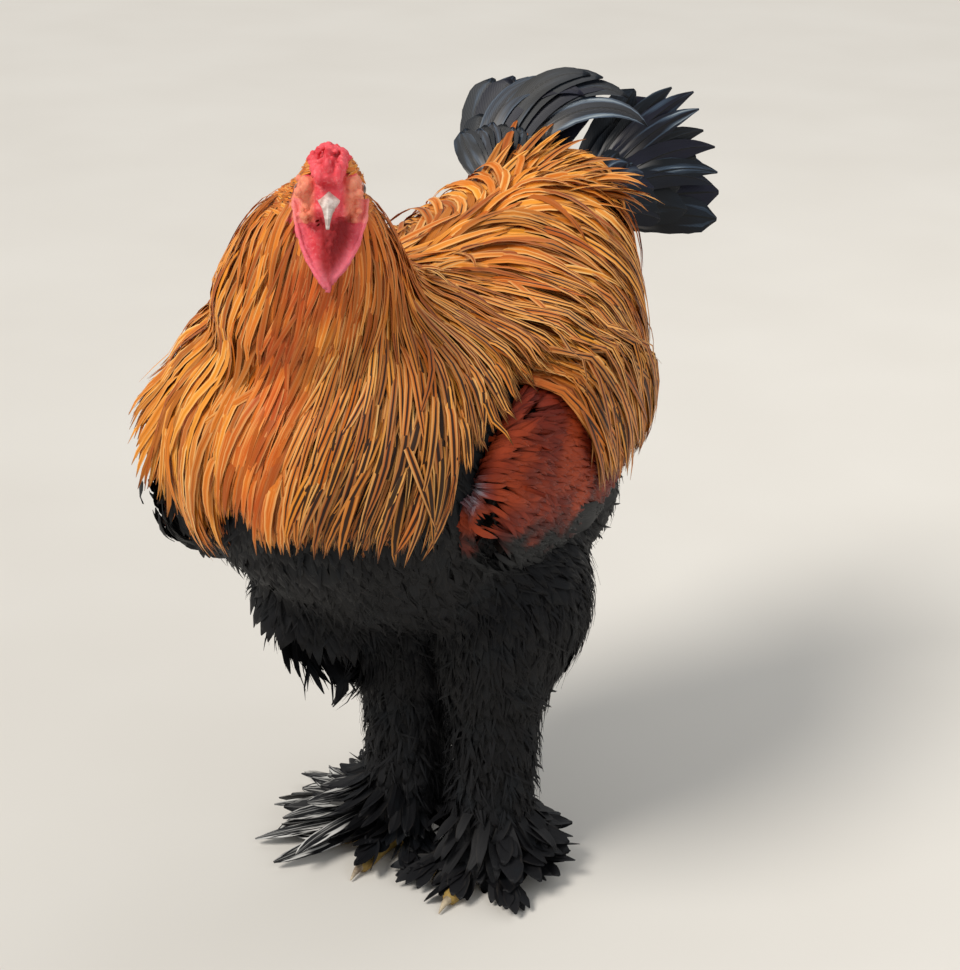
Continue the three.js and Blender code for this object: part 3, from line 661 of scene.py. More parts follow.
# %% Scatter roots and walk them along a flow
def scatter(inside, spacing, seed):
    """Roots about a spacing apart, with their places on the unwrap, where inside(points) holds."""
    rng = np.random.default_rng(seed)
    chosen = np.flatnonzero(inside(face_places))
    share = face_areas[chosen] / face_areas[chosen].sum()
    count = int(6 * face_areas[chosen].sum() / spacing**2)
    picked = rng.choice(chosen, count, p=share / share.sum())
    spread = np.sqrt(face_areas[picked])[:, None] * rng.uniform(-0.5, 0.5, (count, 3))
    roots = face_places[picked] + spread
    cells = np.floor(roots / spacing).astype(int)
    first = np.unique(cells, axis=0, return_index=True)[1]
    return roots[first], face_spots[picked[first]]


def along_form(vectors, up):
    return unit(vectors - (vectors * up).sum(-1, keepdims=True) * up)


STRAYED, TUCKED = 1.5, 9


def lay(form, roots, flow, length, low, rise, rng, stations=7, splay=6, sweep=8, quick=1.7, dip=0):
    """Feathers along a form: their middle lines, sides and ups, each as (count, stations, 3).

    A feather that the walk has lost the form under is tucked in below the others.
    """
    count = len(roots)
    aside = np.radians(rng.normal(0, splay, count))
    turn = np.radians(rng.normal(0, sweep, count))
    point = settle(form, roots, low)
    lift = low
    astray = np.zeros(count, bool)
    lines, ups = [], []
    for i in range(stations):
        share = i / (stations - 1)
        astray |= np.abs(form(point) - lift) > STRAYED
        up = outward(form, point)
        lines.append(point)
        ups.append(up)
        way = along_form(flow(point), up)
        angle = (aside + turn * share)[:, None]
        way = way * np.cos(angle) + np.cross(way, up) * np.sin(angle)
        ahead = (i + 1) / (stations - 1)
        lift = low + (rise - low) * (1 - max(1 - ahead, 0) ** quick) - dip * ahead**4
        point = settle(form, point + way * (length / (stations - 1))[:, None], lift, rounds=2)
    lines, ups = np.stack(lines, 1), np.stack(ups, 1)
    lines[astray] -= TUCKED * ups[astray]
    return framed(lines, ups, rng)


def uneven(rng, count):
    """Mostly small shares, with a few large ones, so that some feathers stand off."""
    return 0.15 + 0.95 * rng.random(count) ** 1.6


def some(laid, keep):
    """Only the feathers that are kept."""
    return {part: values[keep] for part, values in laid.items()}


def cut_to(form, roots, flow, length, edge, rng, shortest=42):
    """Lengths shortened so that tips end near an edge's height, and which feathers stay."""
    level = np.zeros(len(roots))
    plain = lay(form, roots, flow, length, -4, level, np.random.default_rng(1), 5, 0, 0)
    tips = plain["lines"][:, -1]
    low = edge(tips) + rng.normal(0, 7, len(roots))
    share = (roots[:, 2] - low) / np.maximum(roots[:, 2] - tips[:, 2], 1)
    length = np.where(tips[:, 2] < low, length * np.clip(share, 0, 1), length)
    return length, length > shortest


def within(laid, edge, past=9):
    """Which feathers stay over an edge's height all along."""
    return (laid["lines"][..., 2] > edge(laid["lines"]) - past).all(axis=1)


def framed(lines, ups, rng, roll=9):
    """Sides and ups set square to the lines, each feather rolled a little about its shaft."""
    ways = unit(np.gradient(lines, axis=1))
    sides = unit(np.cross(ways, ups))
    ups = np.cross(sides, ways)
    angle = np.radians(rng.normal(0, roll, len(lines)))[:, None, None]
    rolled = sides * np.cos(angle) + ups * np.sin(angle)
    return {"lines": lines, "sides": rolled, "ups": np.cross(rolled, ways)}


# %% Turn laid feathers into one mesh of closed vanes
LANCE = [(-1, 0.0), (0, 1.0), (1, 0.0), (0, -0.6)]
BLADE = [(-1, 0), (-0.5, 0.5), (-0.07, 0.6), (0, 1.8), (0.07, 0.6), (0.5, 0.5), (1, 0), (0, -0.8)]
OUTLINES = {
    "lance": [0.4, 0.8, 1, 0.98, 0.85, 0.58, 0.06],
    "leaf": [0.3, 0.8, 1, 1, 0.92, 0.68, 0.12],
    "down": [0.5, 1, 1, 0.75, 0.4, 0.05],
    "paddle": [0.2, 0.55, 0.75, 0.88, 0.96, 1, 1, 0.98, 0.93, 0.78, 0.1],
    "petal": [0.3, 0.7, 0.9, 1, 1, 0.95, 0.72, 0.14],
    "sickle": [0.25, 0.6, 0.82, 0.96, 1, 0.95, 0.8, 0.55, 0.08],
}
pieces = {}


def outline(shape, stations):
    widths = OUTLINES[shape]
    return np.interp(np.linspace(0, 1, stations), np.linspace(0, 1, len(widths)), widths)


def vanes(
    name, laid, width, spots, shape, section, thick=0.3, cup=0.1, marks=None, ragged=0, rng=None
):
    """One piece of many feathers. Marks are numbers per feather, or per feather and station."""
    lines, sides, ups = laid["lines"], laid["sides"], laid["ups"]
    count, stations = lines.shape[:2]
    half = np.asarray(width)[:, None] / 2 * outline(shape, stations)[None, :]
    if ragged:
        half = half * (1 - ragged * rng.random((count, stations)))
    across = np.array([a for a, _ in section])
    over = np.array([o for _, o in section])
    thin = thick * np.linspace(1, 0.35, stations)[None, :, None]
    rise = over[None, None, :] * thin - cup * half[:, :, None] * across[None, None, :] ** 2
    points = lines[:, :, None, :] + sides[:, :, None, :] * (half[:, :, None] * across)[..., None]
    points = points + ups[:, :, None, :] * rise[..., None]
    points[..., 2] = np.maximum(points[..., 2], 0.5)
    build_vanes(name, points, spots, across, marks or {})
    return pieces[name]


def build_vanes(name, points, spots, across, marks):
    count, stations, corners = points.shape[:3]
    ring = np.arange(corners)
    start = (np.arange(stations - 1) * corners)[:, None]
    after = (ring + 1) % corners
    ahead = start + corners
    walls = np.stack([start + ring, start + after, ahead + after, ahead + ring], -1)
    last = (stations - 1) * corners
    fans = [[0, k + 1, k, k - 1] for k in range(2, corners - 1, 2)]
    caps = np.array(fans + [[last + f[0], last + f[3], last + f[2], last + f[1]] for f in fans])
    faces = np.concatenate([walls.reshape(-1, 4), caps])
    per_vane = stations * corners
    faces = (faces[None] + (np.arange(count) * per_vane)[:, None, None]).reshape(-1, 4)
    mesh = bpy.data.meshes.new(name)
    mesh.vertices.add(count * per_vane)
    mesh.vertices.foreach_set("co", in_row(points.reshape(-1, 3)).astype(np.float32).ravel())
    mesh.loops.add(faces.size)
    mesh.loops.foreach_set("vertex_index", faces.astype(np.int32).ravel())
    mesh.polygons.add(len(faces))
    mesh.polygons.foreach_set("loop_start", np.arange(0, faces.size, 4, dtype=np.int32))
    mesh.polygons.foreach_set("use_smooth", np.ones(len(faces), bool))
    mesh.update(calc_edges=True)
    ends = np.zeros(len(mesh.edges) * 2, np.int32)
    mesh.edges.foreach_get("vertices", ends)
    corner = ends.reshape(-1, 2) % corners
    rim_corners = np.flatnonzero(np.abs(across) == 1)
    at_rim = (corner[:, 0] == corner[:, 1]) & np.isin(corner[:, 0], rim_corners)
    mesh.edges.foreach_set("use_edge_sharp", at_rim)
    own = np.zeros((count, stations, corners, 2))
    own[..., 0] = (across + 1) / 2
    own[..., 1] = np.linspace(0, 1, stations)[None, :, None]
    baked = np.asarray(spots)[:, None, None, :] + 0.003 * (own - 0.5)
    for layer, spot in (("vane", own), ("OFBake", baked)):
        corners_uv = spot.reshape(-1, 2)[faces.ravel()].astype(np.float32)
        mesh.uv_layers.new(name=layer).data.foreach_set("uv", corners_uv.ravel())
    for mark, values in marks.items():
        values = np.asarray(values, float)
        values = values[:, None] if values.ndim == 1 else values
        spread = np.broadcast_to(values[:, :, None], (count, stations, corners))
        layer = mesh.attributes.new(mark, "FLOAT", "POINT")
        layer.data.foreach_set("value", spread.astype(np.float32).ravel())
    piece = bpy.data.objects.new(name, mesh)
    scene.collection.objects.link(piece)
    pieces[name] = piece
    print(name, count, "feathers,", 2 * len(faces), "triangles")


def in_row(points):
    """From millimetres at the bird's own origin, between its feet, to metres in the row frame."""
    return np.asarray(points) * MM + np.array(SHIFT)


# %% [markdown]
# ## The hackle
# The cape of long lances from the nape to the shoulders is what makes this breed. It parts in
# front: on the bird's right it falls straight, and on its left the strands sweep in across the
# breast before they curl under. A few combed strokes, each a place and a way, bend the general
# fall of the cape, as a comb would.

# %% Comb the cape
CROWN = np.array(SKULL) + (-16, 30, 30)
COMBED = [
    ((-40, -190, 540), (-45, 5, -110)),
    ((-120, -150, 500), (-55, 35, -80)),
    ((-178, -130, 412), (0, -20, -40)),
    ((-67, -196, 425), (-16, -5, -100)),
    ((12, -196, 540), (-28, 0, -85)),
    ((-12, -203, 450), (-22, -8, -75)),
    ((20, -192, 535), (-32, -12, -62)),
    ((-4, -202, 465), (-24, -12, -72)),
    ((42, -170, 530), (-26, -24, -88)),
    ((15, -195, 450), (-30, -26, -72)),
    ((68, -140, 490), (4, -48, -72)),
    ((52, -178, 420), (-38, -28, -76)),
    ((82, -115, 480), (28, -40, -70)),
    ((92, -143, 405), (-14, -18, -72)),
    ((66, -88, 524), (34, 16, -54)),
    ((110, -85, 478), (48, -10, -36)),
]
stroke_places = np.array([place for place, _ in COMBED], float)
stroke_ways = unit(np.array([way for _, way in COMBED], float))


def hackle_flow(points):
    fall = unit(points - CROWN) + (0, 0, -0.55)
    near = np.linalg.norm(points[:, None] - stroke_places, axis=-1)
    pull = np.exp(-((near / 36) ** 2))
    return fall * 0.25 + pull @ stroke_ways * 1.4


def in_cape(points):
    on_neck = skin_neck(points) < torso(points) + COAT["torso"] + 4
    return (on_neck | (cape_ball(points) < 2)) & (points[:, 2] < 640)


CAPE_HEM = (
    [-190, -180, -169, -159, -141, -126, -115, -90, -70, -58, -46, -34, 3, 45, 70, 91],
    [480, 452, 428, 404, 374, 352, 334, 336, 352, 392, 396, 368, 373, 368, 364, 372],
)
CAPE_SIDE = ([-165, -156, -149, -126, -60], [366, 385, 420, 444, 478])


def cape_edge(points):
    """The height at which the cape ends: along its hem by x, and along its left side by y."""
    hem = np.interp(points[..., 0], *CAPE_HEM)
    return np.where(
        points[..., 0] > 84, np.maximum(hem, np.interp(points[..., 1], *CAPE_SIDE)), hem
    )


def in_head_frame(points):
    back = np.array(head_frame.inverted())
    return points @ back[:3, :3].T + back[:3, 3]


def off_wattles(lines):
    """Which feathers pass clear of the wattles."""
    x, y, z = np.moveaxis(in_head_frame(lines), -1, 0)
    down = (-9 - z) / WATTLE["height"][-1]
    front = 9 - 0.63 * np.abs(y) + WATTLE["lean"] * down
    beside = np.abs(y) < 30 - 18 * np.clip(down, 0, 1) ** 2
    inside = (down > -0.3) & (down < 1.04) & beside & (x > front)
    return ~inside.any(axis=1)


# %% Lay the hackle
def along_neck(points):
    """0 at the shoulders to 1 at the head."""
    start, end = np.array(NECK_LINE[0], float), np.array(NECK_LINE[3], float)
    return np.clip((points - start) @ (end - start) / ((end - start) @ (end - start)), 0, 1)


def straw(points, rng, grain=26):
    """How pale and how red a lance is, by its place and by chance."""
    return np.clip(0.5 + 0.3 * drift(points, grain, 21) + rng.normal(0, 0.22, len(points)), 0, 1)


def tones_along(laid, tone):
    """A mark at each station, reckoned from the feather's own place there."""
    return np.stack([tone(laid["lines"][:, i]) for i in range(laid["lines"].shape[1])], axis=1)


def cape_red(points):
    """Redder along the parting, and towards the head on the bird's left."""
    left = np.clip((points[:, 0] - 20) / 30, 0, 1)
    near_head = np.clip((points[:, 2] - 500) / 110, 0, 1) * (0.25 + 0.55 * left)
    parting = np.array(
        [[14.0, -194, 568], [-8, -200, 525], [-12, -204, 486], [-20, -207, 445], [-24, -210, 408]]
    )
    off = np.min(np.linalg.norm(points[:, None] - parting, axis=-1), axis=1)
    return np.clip(near_head + 1.05 * np.exp(-((off / 30) ** 2)), 0, 1)


def cape_stripes_and_shade(points):
    """More black striping and painted shade on the bird's left breast, and almost none along the
    parting.
    """
    left = np.clip((points[:, 0] + 8) / 50, 0, 1)
    low = np.clip((560 - points[:, 2]) / 120, 0, 1)
    return np.clip(0.05 + 0.62 * left * low + 0.06 * low, 0, 1) * (1 - 0.8 * cape_red(points))


rng = np.random.default_rng(31)
roots, spots = scatter(in_cape, 5.3, 31)
share = along_neck(roots)
length = (150 - 76 * share) * rng.uniform(0.85, 1.12, len(roots))
length, keep = cut_to(mantle, roots, hackle_flow, length, cape_edge, rng, shortest=56)
roots, spots, share, length = roots[keep], spots[keep], share[keep], length[keep]
loose = rng.random(len(roots)) < 0.04
flare = np.clip((-110 - roots[:, 0]) / 40, 0, 1)
rise = (14 - 6 * share) * uneven(rng, len(roots)) * (1 - 0.5 * flare) + 3 * loose
settings = {"stations": 8, "splay": 3.5 + 8 * loose, "sweep": 7, "quick": 5, "dip": 3}
laid = lay(mantle, roots, hackle_flow, length, -5, rise, rng, **settings)
width = rng.uniform(5.6, 9, len(roots)) * (1 - 0.5 * share)
clear = off_wattles(laid["lines"]) & within(laid, cape_edge)
for name, half in (("hackle_right", roots[:, 0] < -14), ("hackle_left", roots[:, 0] >= -14)):
    own = clear & half
    strands = some(laid, own)
    marks = {
        "chance": rng.random(own.sum()),
        "pale": straw(roots[own], rng),
        "red": tones_along(strands, cape_red),
        "black": tones_along(strands, cape_stripes_and_shade),
    }
    vanes(name, strands, width[own], spots[own], "lance", LANCE, marks=marks)
print(
    "hackle reaches", np.round(laid["lines"][:, -1].min(0)), np.round(laid["lines"][:, -1].max(0))
)

# %% [markdown]
# ## The saddle
# Behind the cape lies a second mantle of lances, over the back and down both sides, longer towards
# the sides. It parts along the spine. In front of it the feathers are fluffed and browner, and at
# the tail some stand up against its root.


# %% Lay the saddle
def saddle_flow(points):
    aside = 0.9 * (points[:, 0] - 8) / 90
    return np.stack([aside, np.full(len(points), 0.6), np.full(len(points), -0.95)], axis=1)


def in_saddle(points):
    back = (points[:, 2] > 455) & (points[:, 1] > -70) & (points[:, 1] < 215)
    return back & ~in_cape(points) & (np.abs(points[:, 0] - 8) < 112)


SADDLE_HEM = (
    [-79, -46, -36, -13, -5, 7, 31, 59, 130, 200],
    [488, 476, 463, 440, 410, 381, 361, 355, 366, 410],
)


def saddle_edge(points):
    """The height at which the saddle ends: high over the wing's bow, and low behind it."""
    return np.interp(points[..., 1], *SADDLE_HEM)


def saddle_red(points):
    """Redder and browner in front, where the back is fluffed."""
    return np.clip(0.12 + 0.22 * drift(points, 90, 5) + (10 - points[:, 1]) / 110, 0, 1)


# More black striping and painted shade towards the sides of the saddle.
def saddle_stripes_and_shade(points):
    return np.clip(
        0.1 + 0.2 * (np.abs(points[:, 0] - 8) - 50) / 80 + 0.12 * drift(points, 60, 6), 0.03, 1
    )


rng = np.random.default_rng(47)
roots, spots = scatter(in_saddle, 5.5, 47)
lean = np.clip(np.abs(roots[:, 0] - 8) / 80, 0, 1.3)
length = (92 + 78 * lean) * rng.uniform(0.85, 1.1, len(roots))
length, keep = cut_to(drape, roots, saddle_flow, length, saddle_edge, rng)
roots, spots, lean, length = roots[keep], spots[keep], lean[keep], length[keep]
fluffed = np.clip((45 - roots[:, 1]) / 60, 0, 1) * np.clip((110 - roots[:, 0]) / 50, 0.2, 1)
loose = rng.random(len(roots)) < 0.05 + 0.2 * fluffed
rise = (16 - 8 * np.clip(lean, 0, 1)) * uneven(rng, len(roots)) + 4 * loose
rise = rise * (1 - 0.6 * np.clip((-90 - roots[:, 0]) / 30, 0, 1))
settings = {
    "stations": 9,
    "splay": 4 + 7 * fluffed + 9 * loose,
    "sweep": 8 + 8 * fluffed,
    "quick": 5,
    "dip": 3,
}
laid = lay(drape, roots, saddle_flow, length, -4, rise, rng, **settings)
width = rng.uniform(6, 9, len(roots))
hung = within(laid, saddle_edge)
for name, half in (("saddle_right", roots[:, 0] < 8), ("saddle_left", roots[:, 0] >= 8)):
    half = half & hung
    strands = some(laid, half)
    marks = {
        "chance": rng.random(half.sum()),
        "pale": straw(roots[half], rng),
        "red": tones_along(strands, saddle_red),
        "black": tones_along(strands, saddle_stripes_and_shade),
    }
    vanes(name, strands, width[half], spots[half], "lance", LANCE, marks=marks)
print(
    "saddle reaches", np.round(laid["lines"][:, -1].min(0)), np.round(laid["lines"][:, -1].max(0))
)

# %% [markdown]
# ## The black body plumage
# Breast, belly and flanks are soft black feathers, broad and rounded, with frayed edges. They lie
# under the cape and the saddle and turn back under the belly. Downy slivers between them break
# the outline, as they do on the loose plumage of this breed.


# %% Lay the body feathers
def body_flow(points):
    aside = (points[:, 0] + 10) / 420
    back = np.clip((points[:, 1] + 190) / 320, 0.12, 0.75)
    return np.stack([aside, back, np.full(len(points), -0.8)], axis=1)


def nearest(points):
    """The part a point is on: 0 torso, 1 neck, 2 wing, 3 thigh, 4 shank or toe, 5 tail, 6 head."""
    legs = [np.minimum(side["shank"](points) + COAT["shank"], 50) for side in SIDES.values()]
    toes = [form(points) for form in toe_forms]
    thighs = [side["thigh"](points) + COAT["thigh"] for side in SIDES.values()]
    near = [
        torso(points) + COAT["torso"],
        skin_neck(points),
        np.min([wing(points) + COAT["wing"] for wing in wings], axis=0),
        np.min(thighs, axis=0),
        np.min(legs + toes, axis=0),
        tail_base(points) + COAT["tail"],
        np.linalg.norm(points - np.array(SKULL), axis=-1) - 24,
    ]
    return np.argmin(near, axis=0)


toe_forms = [toe["form"] for side in SIDES.values() for toe in side["toes"].values()]


def in_body(points):
    part = nearest(points)
    on_torso = (part == 0) & ~in_saddle(points) & (shoulder(points) > 0)
    return on_torso | (part == 1) & (points[:, 2] < 470)


rng = np.random.default_rng(53)
body_form = blend(20, torso, tail_base, flank, *[side["thigh"] for side in SIDES.values()])
roots, spots = scatter(in_body, 9.4, 53)
length = rng.uniform(36, 58, len(roots))
rise = rng.uniform(0, 4, len(roots))
laid = lay(body_form, roots, body_flow, length, -8, rise, rng, stations=6, splay=10)
marks = {"chance": rng.random(len(roots)), "tip": np.zeros(len(roots))}
width = rng.uniform(10, 16, len(roots))
vanes("breast_feathers", laid, width, spots, "leaf", LANCE, marks=marks, ragged=0.3, rng=rng)

# %% Lay the down between them
roots, spots = scatter(in_body, 10, 59)
length = rng.uniform(24, 50, len(roots))
rise = rng.uniform(1, 8, len(roots))
laid = lay(body_form, roots, body_flow, length, -8, rise, rng, stations=5, splay=22)
marks = {"chance": rng.random(len(roots)), "tip": np.zeros(len(roots))}
vanes("body_down", laid, rng.uniform(2, 4, len(roots)), spots, "down", LANCE, marks=marks)

# %% [markdown]
# ## The wings
# Each wing is folded against the body. Its bow is silky deep red, with small narrow feathers, and
# below it lie black coverts and the broad ends of the secondaries. The right wing hangs lower, and
# its quill tips stick out below the cape.


# %% Cover the wings
def in_wing(points):
    return (nearest(points) == 2) | (shoulder(points) < 6)


def bow_red(points):
    """Deep red on the bow, black below a slanting line."""
    line = 350 - 0.2 * (points[:, 1] + 100)
    soft = points[:, 2] - line + 12 * drift(points, 30, 8)
    left = points[:, 0] > 0
    return np.clip(soft / 30, 0, 1) * left


def wing_bar_sheen(points):
    """A small blue-grey patch where the wing meets the breast: a wing bar, its pale blue-grey a painted
    sheen.
    """
    off = np.linalg.norm(points - (108, -137, 410), axis=-1)
    return np.exp(-((off / 17) ** 4))


wing_forms = {
    "left": blend(36, torso, wings[0]), "right": blend(12, grown(torso, 1), wings[1], shoulder)
}
for name, side in SIDES.items():
    sign, droop = side["sign"], side["droop"]
    rng = np.random.default_rng(61 + sign)
    form = wing_forms[name]
    roots, spots = scatter(
        lambda p: in_wing(p) & (p[:, 0] * sign > 0), 4.8 if sign > 0 else 6.2, 67 + sign
    )

    def wing_flow(points, droop=droop):
        fall = -0.35 - droop + (points[:, 2] - 420) / 300
        return np.stack([np.zeros(len(points)), np.ones(len(points)), fall], axis=1)

    length = rng.uniform(24, 42, len(roots))
    rise = rng.uniform(0.5, 3.5, len(roots))
    laid = lay(form, roots, wing_flow, length, -5, rise, rng, stations=6, splay=9, quick=3)
    marks = {
        "chance": rng.random(len(roots)),
        "bay": tones_along(laid, bow_red),
        "blue": tones_along(laid, wing_bar_sheen),
    }
    width = rng.uniform(3.4, 6.4, len(roots)) if sign > 0 else rng.uniform(6, 10, len(roots))
    vanes("wing_bow_" + name, laid, width, spots, "leaf", LANCE, marks=marks, ragged=0.25, rng=rng)

# %% [markdown]
# ## Quills of the wing and tail
# The long feathers of the wing and tail are stiff: a broad vane on each side of a strong shaft,
# bent within its own blade and curled out of it. They don't lie on the body, so they are walked
# freely from their root by a heading that turns at each step.


# %% Walk free quills
def quill(root, heading, side, length, bend=0.0, curl=0.0, stations=18):
    """Middle line and ups of a free feather, turned in its blade by bend, out of it by curl."""
    point = Vector(root)
    along = Vector(heading).normalized()
    across = (Vector(side) - along * along.dot(Vector(side))).normalized()
    lines, ups = [], []
    for i in range(stations):
        share = i / (stations - 1)
        up = across.cross(along)
        lines.append(point.copy())
        ups.append(up.copy())
        point += along * (length / (stations - 1))
        turn = Matrix.Rotation(-bend * (0.5 + share) / (stations - 1), 3, up)
        along, across = turn @ along, turn @ across
        along = Matrix.Rotation(curl * (0.5 + share) / (stations - 1), 3, across) @ along
    return np.array(lines), np.array(ups)


def gather(quills, rng, roll=3):
    lines = np.array([line for line, _ in quills])
    ups = np.array([up for _, up in quills])
    return framed(lines, ups, rng, roll)


def nearest_spots(roots):
    """Places on the unwrap of the skin's faces nearest to some roots."""
    return np.array(
        [face_spots[np.argmin(((face_places - root) ** 2).sum(1))] for root in np.array(roots)]
    )


def heading_of(rise, swing):
    up, aside = math.radians(rise), math.radians(swing)
    return Vector((math.sin(aside) * math.cos(up), math.cos(aside) * math.cos(up), math.sin(up)))


# %% Wing quills
QUILL_ROWS = (13, 12)
quill_count = sum(QUILL_ROWS)
for name, side in SIDES.items():
    sign, droop, centre = side["sign"], side["droop"], side["wing_at"]
    rng = np.random.default_rng(71 + sign)
    form = wing_forms[name]
    starts, lengths, widths, rises = [], [], [], []
    for i in range(QUILL_ROWS[0]):
        height = -40 - 2.7 * i if sign > 0 else 34 - 9.5 * i
        starts.append(centre + (sign * 16, 26 + 3 * i - 14 * (i % 2), height))
        lengths.append(112 - 2.2 * i)
        widths.append(24)
        rises.append(2.5)
    for i in range(QUILL_ROWS[1]):
        height = -46 - 2.2 * i if sign > 0 else 24 - 9 * i
        starts.append(centre + (sign * 16, -18 + 3 * i, height))
        lengths.append(74)
        widths.append(22)
        rises.append(4)
    starts, lengths = np.array(starts), np.array(lengths) * rng.uniform(0.95, 1.05, quill_count)

    def quill_flow(points, droop=droop):
        fall = np.full(len(points), -0.16 - droop)
        return np.stack([np.zeros(len(points)), np.ones(len(points)), fall], 1)

    laid = lay(
        form, starts, quill_flow, lengths, -3, np.array(rises), rng, stations=14, splay=2, sweep=4
    )
    none = np.zeros(quill_count)
    marks = {"chance": rng.random(quill_count), "bay": none, "blue": none}
    spots = nearest_spots(starts)
    vanes("wing_quills_" + name, laid, np.array(widths), spots, "paddle", BLADE, 0.5, 0.12, marks)

# %% [markdown]
# ## The tail
# The tail is carried high and open: two stacks of broad feathers, coverts over their base, and
# sickles that arch over the top. Black, they shine blue and violet, a sheen painted into their
# colour, and show pale frayed barbs where they leave the saddle. A row of the table says how
# many feathers it has, over which share of the stack they spread, their lengths, width and bends,
# and how far out they lie.

# %% Build the tail
TAIL_ROW = ("count", "shares", "length", "width", "bend", "out")
SICKLES_OUT = 19
TAIL_HALVES = [
    {
        "hand": 1,
        "seat": (0, 0, 0),
        "top": (46, 10),
        "low": (-6, 30),
        "rows": [
            (10, (0, 1), (132, 148), 40, (0.2, 0.2), 3),
            (8, (0.1, 0.95), (94, 106), 32, (0.3, 0.3), 13),
            (7, (0, 0.5), (152, 150), 25, (0.5, 0.9), SICKLES_OUT),
            (10, (0, 1), (58, 72), 24, (0.4, 0.4), 24),
        ],
    },
    {
        "hand": -1,
        "seat": (-52, -14, 2),
        "top": (50, 22),
        "low": (38, -66),
        "rows": [
            (10, (0, 1), (118, 114), 35, (-0.5, -1.2), 3),
            (8, (0.1, 0.95), (82, 80), 30, (-0.4, -0.8), 13),
            (7, (0.2, 0.85), (168, 154), 23, (-2.1, -2.6), SICKLES_OUT),
            (12, (0, 1.1), (56, 62), 22, (-0.3, -0.5), 24),
        ],
    },
]
rng = np.random.default_rng(83)
quills, widths, starts, arched = [], [], [], []
for half in TAIL_HALVES:
    hand = half["hand"]
    first, last = heading_of(*half["top"]), heading_of(*half["low"])
    axis = first.cross(last).normalized()
    span = first.angle(last)
    for values in half["rows"]:
        row = dict(zip(TAIL_ROW, values))
        for i in range(row["count"]):
            share = i / (row["count"] - 1)
            varied = (row[key] for key in ("shares", "length", "bend"))
            place, length, bend = (np.interp(share, (0, 1), ends) for ends in varied)
            turn = Matrix.Rotation(span * place + rng.normal(0, 0.03), 3, axis)
            heading = turn @ first
            out = row["out"] + 1.2 * i
            root = Vector(TAIL_ROOT) + Vector(half["seat"]) + heading * 8 - axis * hand * out
            length *= rng.uniform(0.94, 1.03)
            bend *= rng.uniform(0.88, 1.1)
            curl = rng.normal(0, 0.1)
            quills.append(
                quill(root, heading, axis.cross(heading), length, bend, curl, stations=22)
            )
            widths.append(row["width"] * rng.uniform(0.9, 1.08))
            starts.append(root)
            arched.append(row["out"] == SICKLES_OUT)
laid = gather(quills, rng)
widths, arched, spots = np.array(widths), np.array(arched), nearest_spots(starts)
for name, shape, own in (("tail_plumes", "paddle", ~arched), ("tail_sickles", "sickle", arched)):
    marks = {"chance": rng.random(own.sum()), "tip": rng.random(own.sum())}
    vanes(name, some(laid, own), widths[own], spots[own], shape, BLADE, 0.5, 0.1, marks, 0.05, rng)
print("tail reaches", np.round(laid["lines"].max((0, 1))))

# %% [markdown]
# ## Loose lances
# Where the saddle meets the tail, long lances stand up and stream past its root, and a few pale
# ones have curled out of the cape's edge over the shoulder. They leave the body, so they are
# walked freely too.

# %% Stand lances up at the tail and curl a few over the shoulder
rng = np.random.default_rng(89)
STREAMING, CURLED = 110, 26
quills, widths, starts = [], [], []
for _ in range(STREAMING):
    share = rng.random()
    root = Vector((np.interp(share, (0, 1), (-62, 62)), rng.uniform(128, 178), 600))
    root = Vector(settle(drape, np.array([root]), -4)[0])
    away = np.interp(share, (0, 1), (-0.12, 0.95))
    heading = Vector((away + rng.normal(0, 0.1), 0.75, 0.62 - 0.42 * share + rng.normal(0, 0.12)))
    side = heading.cross(Vector((0, 0, 1)))
    curl = -rng.uniform(0.5, 1.1) * (0.6 + 0.6 * share)
    quills.append(quill(root, heading, side, rng.uniform(62, 92), 0, curl, stations=10))
    widths.append(rng.uniform(6.5, 9.5))
    starts.append(root)
for _ in range(CURLED):
    root = Vector((rng.uniform(-12, 42), rng.uniform(-75, 12), 600))
    root = Vector(settle(drape, np.array([root]), -2)[0])
    heading = Vector((rng.normal(0.5, 0.5), rng.normal(0.2, 0.5), 0.35))
    side = heading.cross(Vector((0, 0, 1)))
    curl = -rng.uniform(0.8, 1.9)
    quills.append(
        quill(root, heading, side, rng.uniform(36, 58), rng.normal(0, 0.6), curl, stations=10)
    )
    widths.append(rng.uniform(5, 7.5))
    starts.append(root)
laid = gather(quills, rng, roll=14)
count = len(quills)
at_tail = np.arange(count) < STREAMING
marks = {
    "chance": rng.random(count),
    "pale": np.where(at_tail, rng.uniform(0.3, 0.8, count), rng.uniform(0.8, 1, count)),
    "red": np.zeros(count),
    "black": rng.uniform(0.1, 0.3, count),
}
vanes("loose_lances", laid, np.array(widths), nearest_spots(starts), "lance", LANCE, marks=marks)

# %% [markdown]
# ## The legs
# Thighs, shanks and toes are feathered down to the ground. The thighs carry soft down, the shanks
# a dense boot, and from the outer side of each foot a fan of stiff feathers spreads, dark grey
# with pale shafts. The right foot's fan is long, with pale streaks, and the left one's is short
# and black. Small feathers lie over the toes.


# %% Clothe thighs and shanks
def leg_flow(points):
    return np.stack(
        [np.zeros(len(points)), np.full(len(points), 0.12), -np.ones(len(points))], axis=1
    )


def between_legs(points, sign):
    """1 on the inner side of a leg, where the two legs' fluff meets, and 0 on its outer side."""
    return np.clip((50 - (points[:, 0] - 18) * sign) / 40, 0, 1)


def low_on_leg(points):
    """0 over the hock to 1 near the ground."""
    return np.clip((190 - points[:, 2]) / 120, 0, 1)


def left_edge(points):
    """1 on the left thigh's outer side, where the feathers lie flat, and 0 elsewhere."""
    return np.clip((points[:, 0] - 84) / 30, 0, 1) * (1 - low_on_leg(points))


